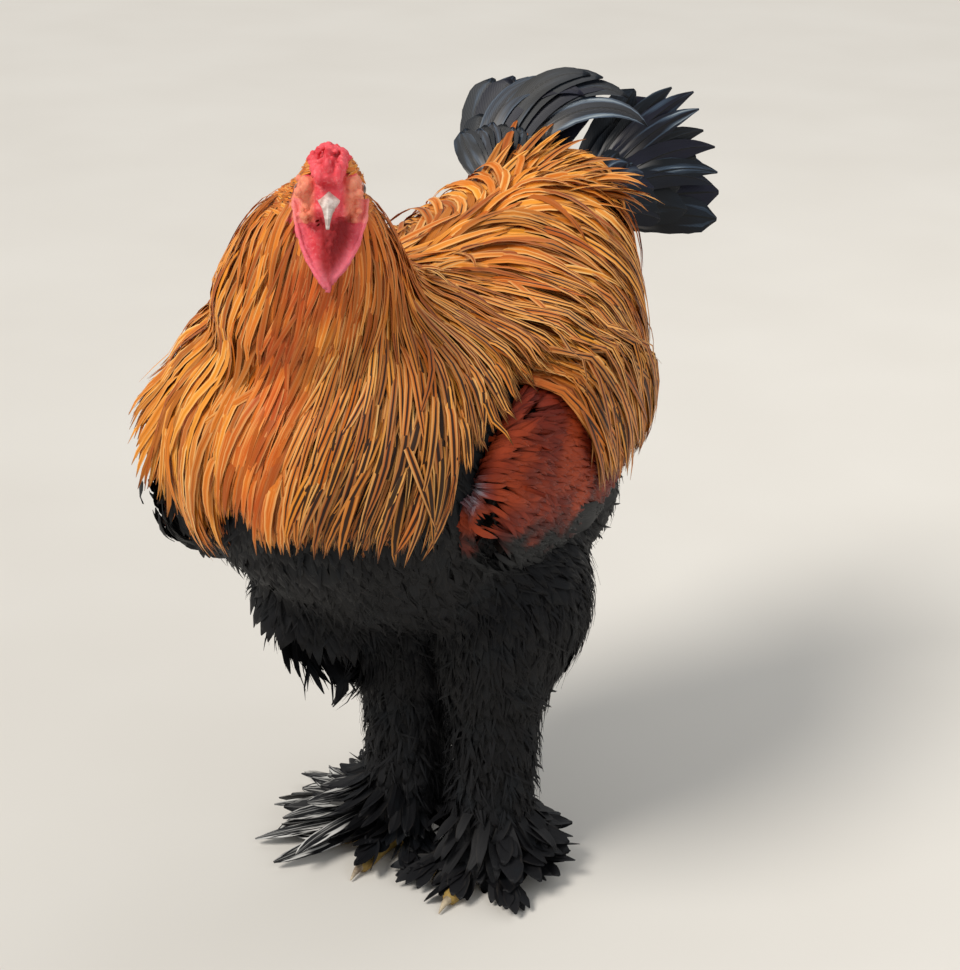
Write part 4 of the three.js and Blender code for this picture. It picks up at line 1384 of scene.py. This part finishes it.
for name, side in SIDES.items():
    sign = side["sign"]
    rng = np.random.default_rng(97 + sign)
    fluff = [flank] if sign < 0 else []
    leg_form = blend(20, side["thigh"], side["shank"], *fluff)

    def on_leg(points, sign=sign):
        own = (points[:, 0] - 18) * sign > 0
        return own & np.isin(nearest(points), (3, 4)) & (points[:, 2] > 22)

    roots, spots = scatter(on_leg, 6.6, 101 + sign)
    inner = between_legs(roots, sign)
    low, flat = low_on_leg(roots), left_edge(roots)
    length = rng.uniform(30, 56, len(roots))
    rise = rng.uniform(0, 6, len(roots)) + (8 * inner + 5) * low - 8 * flat
    laid = lay(leg_form, roots, leg_flow, length, -8, rise, rng, stations=6, splay=13)
    marks = {"chance": rng.random(len(roots)), "tip": np.zeros(len(roots))}
    width = rng.uniform(7, 13, len(roots))
    vanes(
        "leg_feathers_" + name, laid, width, spots, "leaf", LANCE, marks=marks, ragged=0.35, rng=rng
    )
    roots, spots = scatter(on_leg, 6.2, 107 + sign)
    inner = between_legs(roots, sign)
    low, flat = low_on_leg(roots), left_edge(roots)
    rise = rng.uniform(1, 10, len(roots)) + (12 * inner + 6) * low - 9 * flat
    length = rng.uniform(24, 56, len(roots))
    laid = lay(leg_form, roots, leg_flow, length, -8, rise, rng, stations=5, splay=24)
    marks = {"chance": rng.random(len(roots)), "tip": np.zeros(len(roots))}
    width = rng.uniform(1.8, 3.8, len(roots))
    vanes("leg_down_" + name, laid, width, spots, "down", LANCE, marks=marks)

# %% Spread the foot feathers
FAN_ROWS = {
    "fall": (-0.06, -0.16, -0.35, -0.7, -1.2),
    "length": (0.95, 0.85, 0.66, 0.6, 0.58),
    "curl": (-0.15, 0.1, 0.3, 0.5, 0.6),
    "width": (24, 22, 19, 15, 13),
}
FANS = {
    "left": {"reach": 64, "pale": (0, 0.2), "roll": 12},
    "right": {"reach": 122, "pale": (0.4, 1), "roll": 30},
}
for name, side in SIDES.items():
    sign, foot, fan = side["sign"], side["foot"], FANS[name]
    rng = np.random.default_rng(113 + sign)
    quills, widths, starts, pale = [], [], [], []
    for row, (fall, share, curl, wide) in enumerate(zip(*FAN_ROWS.values())):
        for i in range(13):
            turn = math.radians(rng.normal(0, 4) + 36 + 108 * (i + 0.5 * (row % 2)) / 12)
            heading = Vector((sign * math.sin(turn), -math.cos(turn), fall))
            root = Vector(foot) + Vector((heading.x, heading.y, 0)) * (16 - 2 * row)
            root.z = 18 + 18 * row + rng.uniform(-4, 4)
            length = share * max(fan["reach"], 62 + 14 * row) * rng.uniform(0.8, 1.04)
            level = Vector((0, 0, 1)).cross(heading) * sign
            quills.append(quill(root, heading, level, length, rng.normal(0, 0.45), curl, 12))
            widths.append(wide * rng.uniform(0.8, 1.1))
            starts.append(root)
            pale.append(rng.uniform(*fan["pale"]) if row < 3 else rng.uniform(0, 0.2))
    for i in range(46):
        turn = math.radians(rng.uniform(-150, 40))
        heading = Vector((sign * math.sin(turn), -math.cos(turn), rng.uniform(-0.9, -0.35)))
        root = Vector(foot) + Vector((heading.x, heading.y, 0)) * 16
        root.z = rng.uniform(26, 74)
        level = Vector((0, 0, 1)).cross(heading) * sign
        quills.append(quill(root, heading, level, rng.uniform(44, 66), rng.normal(0, 0.3), 0.5, 12))
        widths.append(rng.uniform(9, 14))
        starts.append(root)
        pale.append(rng.uniform(0, 0.1))
    for toe in ("middle", "inner", "outer"):
        sizes = side["toes"][toe]
        for _ in range(22):
            lead, aside = rng.uniform(2, 52), rng.normal(0, 0.3)
            way = Vector(sizes["way"])
            fall = Vector((0, 0, rng.uniform(-0.34, -0.12)))
            heading = way + Vector((-way.y, way.x, 0)) * aside + fall
            root = Vector(foot) + way * lead + Vector((0, 0, 27 - 0.2 * lead))
            level = Vector((0, 0, 1)).cross(heading) * sign
            quills.append(quill(root, heading, level, rng.uniform(34, 46), 0.5 * aside, 0.25, 12))
            widths.append(rng.uniform(12, 17))
            starts.append(root)
            pale.append(rng.uniform(0, 0.25))
    laid = gather(quills, rng, roll=fan["roll"])
    marks = {"chance": rng.random(len(quills)), "tip": pale}
    widths, spots = np.array(widths), nearest_spots(starts)
    vanes("foot_feathers_" + name, laid, widths, spots, "petal", BLADE, 0.4, 0.16, marks, 0.12, rng)

# %% [markdown]
# ## Bill, eyes and claws
# The bill is horn, wide at its root and hooked at its tip. It is lofted from circles that shrink
# and turn along its ridge, and bridged. Eyes are balls under a clear coat, and each claw is a
# small bent cone.


# %% Loft pieces from circles
def loft(name, rings, segments=24, ridge=0.0):
    """Circles set by matrices, drawn in to a ridge on top, bridged, and closed at both ends."""
    bm = bmesh.new()
    loops = []
    for ring in rings:
        made = bmesh.ops.create_circle(bm, segments=segments, radius=1, matrix=ring)
        for vertex in made["verts"]:
            own = ring.inverted() @ vertex.co
            own.x *= 1 - ridge * max(own.y, 0)
            vertex.co = ring @ own
        edges = {edge for vertex in made["verts"] for edge in vertex.link_edges}
        loops.append(list(edges))
    for near, far in zip(loops, loops[1:]):
        bmesh.ops.bridge_loops(bm, edges=near + far)
    bmesh.ops.contextual_create(bm, geom=loops[0])
    bmesh.ops.contextual_create(bm, geom=loops[-1])
    bmesh.ops.recalc_face_normals(bm, faces=bm.faces[:])
    piece = piece_from(name, bm)
    set_places(piece.data, in_row(places_of(piece.data)))
    piece.data.polygons.foreach_set("use_smooth", np.ones(len(piece.data.polygons), bool))
    pieces[name] = piece
    return piece


def ring_at(centre, way, wide, tall):
    """A circle's matrix: square to the way, wide across and tall up."""
    way = Vector(way).normalized()
    level = Vector((0, 0, 1)).cross(way)
    level = level.normalized() if level.length > 0.01 else Vector((1, 0, 0))
    over = way.cross(level)
    axes = Matrix((level * wide, over * tall, way)).transposed()
    return Matrix.Translation(Vector(centre)) @ axes.to_4x4()


# %% Make the bill
BILL = {"root": 13, "length": 39, "width": 23, "height": 14, "bend": math.radians(38)}


def bill_rings(scale, drop, flat, broad=1.0, count=20):
    rings, centres = [], []
    for share in np.linspace(0, 1, count):
        turn = BILL["bend"] * share**1.5 * (0.5 if drop else 1)
        fall = BILL["length"] * scale * share * math.tan(turn) / 2.6 + drop + 2.5 * share**6
        centres.append(on_head(BILL["root"] + BILL["length"] * scale * share, 0, -fall - 1))
    for i, share in enumerate(np.linspace(0, 1, count)):
        way = centres[min(i + 1, count - 1)] - centres[max(i - 1, 0)]
        wide = BILL["width"] / 2 * broad * (1 - 0.9 * share**0.75)
        tall = BILL["height"] / 2 * (1 - 0.9 * share**1.8) * flat
        rings.append(ring_at(centres[i], way, wide, tall))
    return rings


upper = loft("bill_upper_horn", bill_rings(1, 0, 1), ridge=0.72)
loft("bill_lower_horn", bill_rings(0.68, 6.2, 0.45, 0.72))
print("bill", [round(v * 1000) for v in upper.dimensions], "mm")

# %% Make the eyes
for name, side in SIDES.items():
    bm = bmesh.new()
    centre = on_head(EYE["x"], side["sign"] * EYE["y"], EYE["z"])
    axis = (head_axes @ Vector((0.25, side["sign"], 0.05))).normalized()
    turn = axis.to_track_quat("Z", "Y").to_matrix()
    shape = Matrix.Translation(centre) @ turn.to_4x4()
    bmesh.ops.create_uvsphere(bm, u_segments=32, v_segments=24, radius=EYE["radius"], matrix=shape)
    eye = piece_from("eyeball_" + name, bm)
    places = places_of(eye.data)
    level = (places - np.array(centre)) @ np.array(axis) / EYE["radius"]
    tilt = np.degrees(np.arccos(np.clip(level, -1, 1)))
    layer = eye.data.attributes.new("ring", "FLOAT", "POINT")
    layer.data.foreach_set("value", tilt.astype(np.float32))
    set_places(eye.data, in_row(places))
    eye.data.polygons.foreach_set("use_smooth", np.ones(len(eye.data.polygons), bool))
    pieces["eyeball_" + name] = eye
print("eyes", EYE["radius"] * 2, "mm across")

# %% Make the claws
for name, side in SIDES.items():
    for toe, sizes in side["toes"].items():
        start = sizes["tip"] + sizes["way"] * (sizes["radius"] - 6)
        rings = []
        for share in np.linspace(0, 1, 9):
            place = start + sizes["way"] * 18 * share
            place[2] = 6.4 + 1.6 * math.sin(math.pi * share) - 4.4 * share
            radius = 4.0 * (1 - 0.86 * share**1.3)
            way = Vector(sizes["way"]) + Vector((0, 0, -0.5 * share))
            rings.append(ring_at(place, way, radius, radius))
        loft("_".join(["nail", name, toe]), rings, segments=14)
print("claws", sum(piece.startswith("nail") for piece in pieces))

# %% [markdown]
# ## Feathers of the face
# Short orange feathers stand beside the comb, cover the nape and the cheeks behind the eyes, and
# close the gap between wattles and hackle. They shrink towards the bare skin.


# %% Lay the face feathers
def feathered_face(points):
    """Crown sides, nape, the back of the cheeks and the throat; not the comb, face or wattles."""
    x, y, z = in_head_frame(points).T
    near = (np.abs(x) < 60) & (np.abs(y) < 45) & (z > -60) & (z < 34)
    crown = (x < 17) & (z > 8) & (z < 26) & (np.abs(y) > 11)
    nape = x < -12 - 0.25 * np.abs(z)
    cheek = (x < -7) & (z < 8) & (np.abs(y) > 10)
    throat = (z < -26) & (x < -4)
    return near & (crown | nape | cheek | throat) & (points[:, 2] > 585)


def face_flow(points):
    local = in_head_frame(points)
    back, down = np.full(len(points), -1.0), np.full(len(points), -0.35)
    away = np.stack([back, 0.25 * np.sign(local[:, 1]), down], axis=1)
    return away @ np.array(head_axes).T


HEAD_BALLS = [
    ((-4, 0, 0), (29, 21, 23)),
    ((-16, 0, -14), (20, 17, 26)),
    ((4, 0, 17), (26, 12, 12)),
]
turns = (0, math.degrees(HEAD_PITCH), math.degrees(HEAD_TURN) - 90)
balls = [ellipsoid(on_head(*centre), radii, turns) for centre, radii in HEAD_BALLS]
head_form = blend(6, *balls, grown(neck, -14))
rng = np.random.default_rng(127)
roots, spots = scatter(feathered_face, 3, 127)
length = rng.uniform(8, 15, len(roots)) * np.where(roots[:, 2] < 625, 1.7, 1)
rise = rng.uniform(2, 5, len(roots))
laid = lay(head_form, roots, face_flow, length, -0.5, rise, rng, stations=5, splay=14, sweep=14)
marks = {
    "chance": rng.random(len(roots)),
    "pale": straw(roots, rng, 9),
    "red": np.clip(rng.normal(0.4, 0.2, len(roots)), 0, 1),
    "black": np.zeros(len(roots)),
}
width = rng.uniform(2, 3.6, len(roots))
vanes("face_feathers", laid, width, spots, "lance", LANCE, 0.2, marks=marks)

# %% [markdown]
# ## Finishes
# Each finish is one Principled shader. What changes over a feather, its shaft, stripe, edge and
# barbs, is reckoned from the vane's own coordinates, and what changes over the bird comes from
# the marks that each tract carries.


# %% The lances' finish: gold with a black stripe and straw edges
def lance_finish(name):
    finish = Finish(name, roughness=0.5, specular_ior_level=0.25)
    across, along = finish.across_and_along()
    off = (across - 0.5).size() * 2
    chance, pale = finish.attribute("chance"), finish.attribute("pale")
    red, black = finish.attribute("red"), finish.attribute("black")
    fibre = finish.fibres(across, along, chance)
    gold = finish.mixed(chance, paint("cc640a"), paint("f09a2a"))
    fiery = finish.mixed(chance, paint("a83c0a"), paint("d8601c"))
    base = finish.mixed(red, gold, fiery)
    base = finish.mixed(off.step(0.3, 0.85) * pale * (1 - red * 0.7) * 0.8, base, paint("fbcf86"))
    base = finish.mixed(fibre.step(0.52, 0.75) * 0.4, base, paint("8a4008"))
    base = finish.mixed((1 - fibre.step(0.28, 0.46)) * 0.35, base, paint("f8c070"))
    # Some lances, chosen by chance, are darkened brown: partly their own tone, partly painted shade
    # standing in for the darkness between strands.
    base = finish.mixed((chance * 37).sine().step(0.2, 0.95) * 0.6, base, paint("843606"))
    # Painted shade: where the black mark is high, the whole lance is darkened towards brown, besides
    # the black stripe below.
    base = finish.mixed(black * 0.5, base, paint("7a4414"))
    wide = black * (1 - (along - 0.6).size() * 1.5).clipped() * (0.45 + chance * 0.55)
    stripe = 1 - off.step(wide * 0.8, wide * 0.8 + 0.22)
    stripe = (stripe * black.step(0.06, 0.2) * along.step(0.1, 0.35)).clipped()
    tip = along.step(0.88, 1.0) * black * (0.3 + chance)
    base = finish.mixed((stripe + tip).clipped() * 0.95, base, paint("0c0705"))
    # The lances' outer edges are darkened brown: partly their own dark margins, partly painted shade
    # that sets neighbouring lances apart.
    base = finish.mixed(off.step(0.9, 1.0) * 0.2, base, paint("5a2608"))
    # Painted shade: each lance is darkened towards its root, as if in the shade of the lances that lie
    # over it.
    base = finish.mixed((1 - along.step(0.0, 0.4)) * 0.3, base, paint("5a2606"))
    finish.link("Base Color", base)
    finish.link("Roughness", 0.44 + fibre * 0.2)
    finish.bump(fibre, 0.0004, 0.5)
    return finish.material


golden = lance_finish("golden_lances")
print("finish", golden.name)


# %% Black plumage, the bow's bay and the tail's sheen
def black_finish(name, edge, pale_tip=0.0):
    finish = Finish(name, roughness=0.6, specular_ior_level=0.22)
    across, along = finish.across_and_along()
    off = (across - 0.5).size() * 2
    chance, tip = finish.attribute("chance"), finish.attribute("tip")
    fibre = finish.fibres(across, along, chance, 7, 3)
    patchy = finish.noise(30, 3)
    base = finish.mixed(chance, paint("07070a"), paint("101013"))
    base = finish.mixed(patchy.step(0.5, 0.72) * 0.6, base, paint("0e1318"))
    base = finish.mixed(off.step(0.5, 1.0) * fibre.step(0.45, 0.7) * edge, base, paint("26221f"))
    shaft = 1 - off.step(0.03, 0.12)
    streak = fibre.step(0.48, 0.58) * off.step(0.1, 0.7) * along.step(0.3, 0.6)
    pale = ((shaft * 0.5 + streak * 1.2) * tip.step(0.35, 0.9) * pale_tip).clipped()
    base = finish.mixed(pale, base, paint("c8c6c2"))
    finish.link("Base Color", base)
    finish.link("Roughness", 0.52 + fibre * 0.2)
    finish.bump(fibre + patchy * 0.5, 0.0004, 0.5)
    return finish.material


def bow_finish(name):
    finish = Finish(name, roughness=0.5, specular_ior_level=0.25)
    across, along = finish.across_and_along()
    off = (across - 0.5).size() * 2
    chance, bay, blue = (finish.attribute(mark) for mark in ("chance", "bay", "blue"))
    fibre = finish.fibres(across, along, chance, 8, 3)
    cloud = finish.noise(22, 2)
    red = finish.mixed(chance, paint("641806"), paint("84280c"))
    red = finish.mixed(cloud.step(0.42, 0.66) * 0.7, red, paint("ac4014"))
    red = finish.mixed(fibre.step(0.5, 0.72) * 0.4, red, paint("420e05"))
    black = finish.mixed(chance, paint("06070a"), paint("0e1013"))
    base = finish.mixed(bay, black, red)
    # The wing bar is painted blue-grey with pale fibres: its own marking, with its sheen painted in.
    steel_sheen = finish.mixed(fibre.step(0.4, 0.6), paint("3a465a"), paint("b4bcc6"))
    base = finish.mixed(blue, base, steel_sheen)
    # Painted shade: each feather is darkened towards its root, as if in the shade of the feathers over
    # it.
    base = finish.mixed((1 - along.step(0.0, 0.35)) * 0.3, base, paint("120806"))
    finish.link("Base Color", base)
    finish.link("Roughness", 0.44 + off * 0.1 + fibre * 0.2)
    finish.bump(fibre, 0.0003, 0.4)
    return finish.material


def sheen_finish(name):
    finish = Finish(
        name, roughness=0.4, specular_ior_level=0.22, coat_weight=0.05, coat_roughness=0.25
    )
    across, along = finish.across_and_along()
    off = (across - 0.5).size() * 2
    chance, tip = finish.attribute("chance"), finish.attribute("tip")
    fibre = finish.fibres(across, along, chance, 5, 2)
    fine = (along * 190 - off * 40).sine() * 0.5 + 0.5
    cloud = finish.noise(14, 2)
    streak = finish.fibres(off, along, chance, 2, 1.6)
    # Painted sheen: clouds of blue and violet over the black stand for the tail's iridescent shine.
    base = finish.mixed(cloud.step(0.35, 0.65), paint("06080c"), paint("0a141e"))
    base = finish.mixed(chance.step(0.5, 0.9) * cloud * 0.8, base, paint("1a1630"))
    # Painted sheen and highlights: blue-grey and pale grey streaks on some feathers.
    base = finish.mixed(streak.step(0.52, 0.68) * tip.step(0.3, 0.8) * 0.8, base, paint("46586c"))
    base = finish.mixed(streak.step(0.64, 0.8) * tip.step(0.4, 0.85), base, paint("a8b4ba"))
    base = finish.mixed(fine * 0.2, base, paint("030406"))
    frayed = (1 - along.step(0.15, 0.62)) * fibre.step(0.42, 0.6) * tip.step(0.3, 0.8)
    base = finish.mixed(frayed * 0.85, base, paint("b4b0ac"))
    shaft = 1 - off.step(0.03, 0.08)
    base = finish.mixed(shaft, base, paint("060606"))
    finish.link("Base Color", base)
    finish.link("Roughness", 0.36 + fibre * 0.2 + off * 0.1)
    finish.bump(fine + shaft * 2, 0.0002, 0.4)
    return finish.material


plain_black = black_finish("black_plumage", 0.5)
foot_black = black_finish("foot_plumage", 0.9, 1.0)
bow = bow_finish("wing_plumage")
sheen = sheen_finish("tail_plumage")


# %% Skin, horn and eyes
def skin_finish(name):
    finish = Finish(
        name, roughness=0.5, specular_ior_level=0.2, subsurface_weight=0.12, subsurface_scale=0.003
    )
    bare, toe = finish.attribute("bare"), finish.attribute("toe")
    grain = finish.noise(420, 3)
    blotch = finish.noise(70, 3)
    red = finish.mixed(blotch.step(0.3, 0.7), paint("cc2a34"), paint("ea5a62"))
    red = finish.mixed(grain.step(0.5, 0.75) * 0.45, red, paint("f69a98"))
    rim, peach, deep = (finish.attribute(mark) for mark in ("rim", "peach", "deep"))
    red = finish.mixed(peach * (0.45 + grain * 0.5), red, paint("ea9c74"))
    # Painted shade: darker red under the bill, between the wattles.
    red = finish.mixed(deep * 0.95, red, paint("7e0c08"))
    red = finish.mixed(rim * 0.6, red, paint("ee7c8c"))
    # Painted shade: the skin under the feathers is near black, as if lying in their shade.
    under = finish.mixed(blotch, paint("120d0b"), paint("221510"))
    base = finish.mixed(bare, under, red)
    scaly = finish.mixed(grain, paint("7c6430"), paint("a3874c"))
    base = finish.mixed(toe, base, scaly)
    finish.link("Base Color", base)
    finish.link("Roughness", 0.44 + grain * 0.3)
    bumps = finish.add(
        "ShaderNodeTexVoronoi", {}, {"Vector": finish.parts["place"], "Scale": 700.0}
    )
    finish.bump(grain - bumps * 0.5, 0.0006, 0.5)
    return finish.material


def horn_finish(name, dark, light):
    finish = Finish(name, roughness=0.35)
    band = finish.noise(90, 3, (1, 1, 2.5))
    fine = finish.noise(700, 2, (1, 1, 0.3))
    base = finish.mixed(band.step(0.35, 0.7), paint(dark), paint(light))
    finish.link("Base Color", finish.mixed(fine.step(0.55, 0.8) * 0.4, base, paint("8b8078")))
    finish.link("Roughness", 0.28 + fine * 0.25)
    finish.bump(fine, 0.0003, 0.4)
    return finish.material


def eye_finish(name):
    finish = Finish(name, roughness=0.08, coat_weight=1.0, coat_roughness=0.02)
    ring = finish.attribute("ring") / 90
    fibres = finish.noise(1500, 2)
    stops = [(0, paint("050404")), (0.27, paint("050404")), (0.3, paint("7a2c0c"))]
    stops += [(0.5, paint("b4541c")), (0.62, paint("3a1408")), (0.7, paint("100808"))]
    iris = finish.add("ShaderNodeValToRGB", {"stops": stops}, {0: ring})
    base = finish.mixed(fibres.step(0.4, 0.7) * 0.3, iris, paint("3a1206"))
    finish.link("Base Color", base)
    finish.link("Roughness", 0.06 + fibres * 0.05)
    return finish.material


skin_red = skin_finish("face_and_foot_skin")
bill_horn = horn_finish("bill_horn", "a8948a", "e8ddd4")
claw_horn = horn_finish("claw_horn", "6b5a48", "b9a88c")
eye_gloss = eye_finish("eye_gloss")
print("finishes", len(bpy.data.materials))

# %% Mark the skin: bare on the face, scaled on the toes
places = places_of(skin.data)
part = nearest(places)
x, y, z = in_head_frame(places).T
on_face = (np.abs(x) < 62) & (np.abs(y) < 42) & (z < 45) & (z > -80) & (places[:, 2] > 560)
feathered = (z < -26) & (x < -2) | (x < -13) & (z < 13)
bare = (on_face & ~feathered).astype(float)
toe = ((part == 4) & (places[:, 2] < 30)).astype(float)
across = np.abs(y)
edge_off = np.full(len(places), 9.0)
for sign in (-1, 1):
    for down in np.linspace(0, 1, 60):
        on_rim = np.array(wattle_at(sign, WATTLE["edge"], down))
        edge_off = np.minimum(edge_off, np.linalg.norm(places - on_rim, axis=1))
rim = np.exp(-((edge_off / 5.5) ** 2)) * bare
peach = np.clip((across - 9) / 6, 0, 1) * (z > -20) * (z < 14) * bare
# Painted shade is marked under the bill, between the wattles.
deep = np.clip((15 + 3 * np.sign(y) - across) / 7, 0, 1) * np.clip((-13 - z) / 6, 0, 1) * bare
for mark, values in (("bare", bare), ("toe", toe), ("rim", rim), ("peach", peach), ("deep", deep)):
    layer = skin.data.attributes.new(mark, "FLOAT", "POINT")
    layer.data.foreach_set("value", values.astype(np.float32))
set_places(skin.data, in_row(places))
skin.data.polygons.foreach_set("use_smooth", np.ones(len(skin.data.polygons), bool))
pieces["skin"] = skin
print("bare points", int(bare.sum()), "toe points", int(toe.sum()))

# %% [markdown]
# ## Stage and dress
# The bird stands on a plain pale floor. Every piece then gets its finish, the parts of the imported
# model that it stands for are hidden, and it rides on the one body there is, because the bird is a
# still model.

# %% Lay the floor
bm = bmesh.new()
bmesh.ops.create_circle(bm, cap_ends=True, segments=96, radius=9)
floor = piece_from("floor", bm)
plaster = Finish("floor_plaster", roughness=0.85)
cloudy = plaster.noise(3, 2)
plaster.link("Base Color", plaster.mixed(cloudy, paint("cfcac2"), paint("d8d4cd")))
floor.data.materials.append(plaster.material)
floor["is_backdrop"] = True
print("floor radius 9 m")

# %% Dress the pieces and tie them to the frame
FLESH = ["torso", "head", "comb", "wattle_left", "wattle_right", "thigh_left", "thigh_right"]
FLESH += ["shank_left", "shank_right", "foot_left", "foot_right"]
DRESS = {
    "skin": (skin_red, "face_skin", FLESH),
    "hackle_left": (golden, "hackle", ["neck"]),
    "hackle_right": (golden, "hackle", []),
    "face_feathers": (golden, "hackle", []),
    "saddle_left": (golden, "hackle", ["saddle"]),
    "saddle_right": (golden, "hackle", []),
    "loose_lances": (golden, "hackle", []),
    "breast_feathers": (plain_black, "black_plumage", []),
    "body_down": (plain_black, "black_plumage", []),
    "tail_plumes": (sheen, "tail_plumage", ["tail"]),
    "tail_sickles": (sheen, "tail_plumage", []),
    "bill_upper_horn": (bill_horn, "horn", ["bill_upper"]),
    "bill_lower_horn": (bill_horn, "horn", ["bill_lower"]),
}
for name in SIDES:
    DRESS["wing_bow_" + name] = (bow, "wing_plumage", ["wing_" + name])
    DRESS["wing_quills_" + name] = (bow, "wing_plumage", [])
    DRESS["leg_feathers_" + name] = (plain_black, "black_plumage", [])
    DRESS["leg_down_" + name] = (plain_black, "black_plumage", [])
    DRESS["foot_feathers_" + name] = (foot_black, "black_plumage", [])
    DRESS["eyeball_" + name] = (eye_gloss, "eye", ["eye_" + name])
    for toe_name in TOES:
        nail = "_".join(["nail", name, toe_name])
        DRESS[nail] = (claw_horn, "horn", ["_".join(["claw", name, toe_name])])
for name, piece in pieces.items():
    material, slot, nodes = DRESS[name]
    piece.data.materials.clear()
    piece.data.materials.append(material)
    if nodes:
        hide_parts(*nodes)
    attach(piece, "root")
total = sum(
    len(polygon.vertices) - 2 for piece in pieces.values() for polygon in piece.data.polygons
)
print("pieces", len(pieces), "triangles", total)

# %% Measure the size
visual_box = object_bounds()
sizes = {"cad": [list(corner) for corner in cad_box], "visual": [list(corner) for corner in visual_box]}
print("size", [round(b - a, 3) for a, b in zip(*visual_box)])
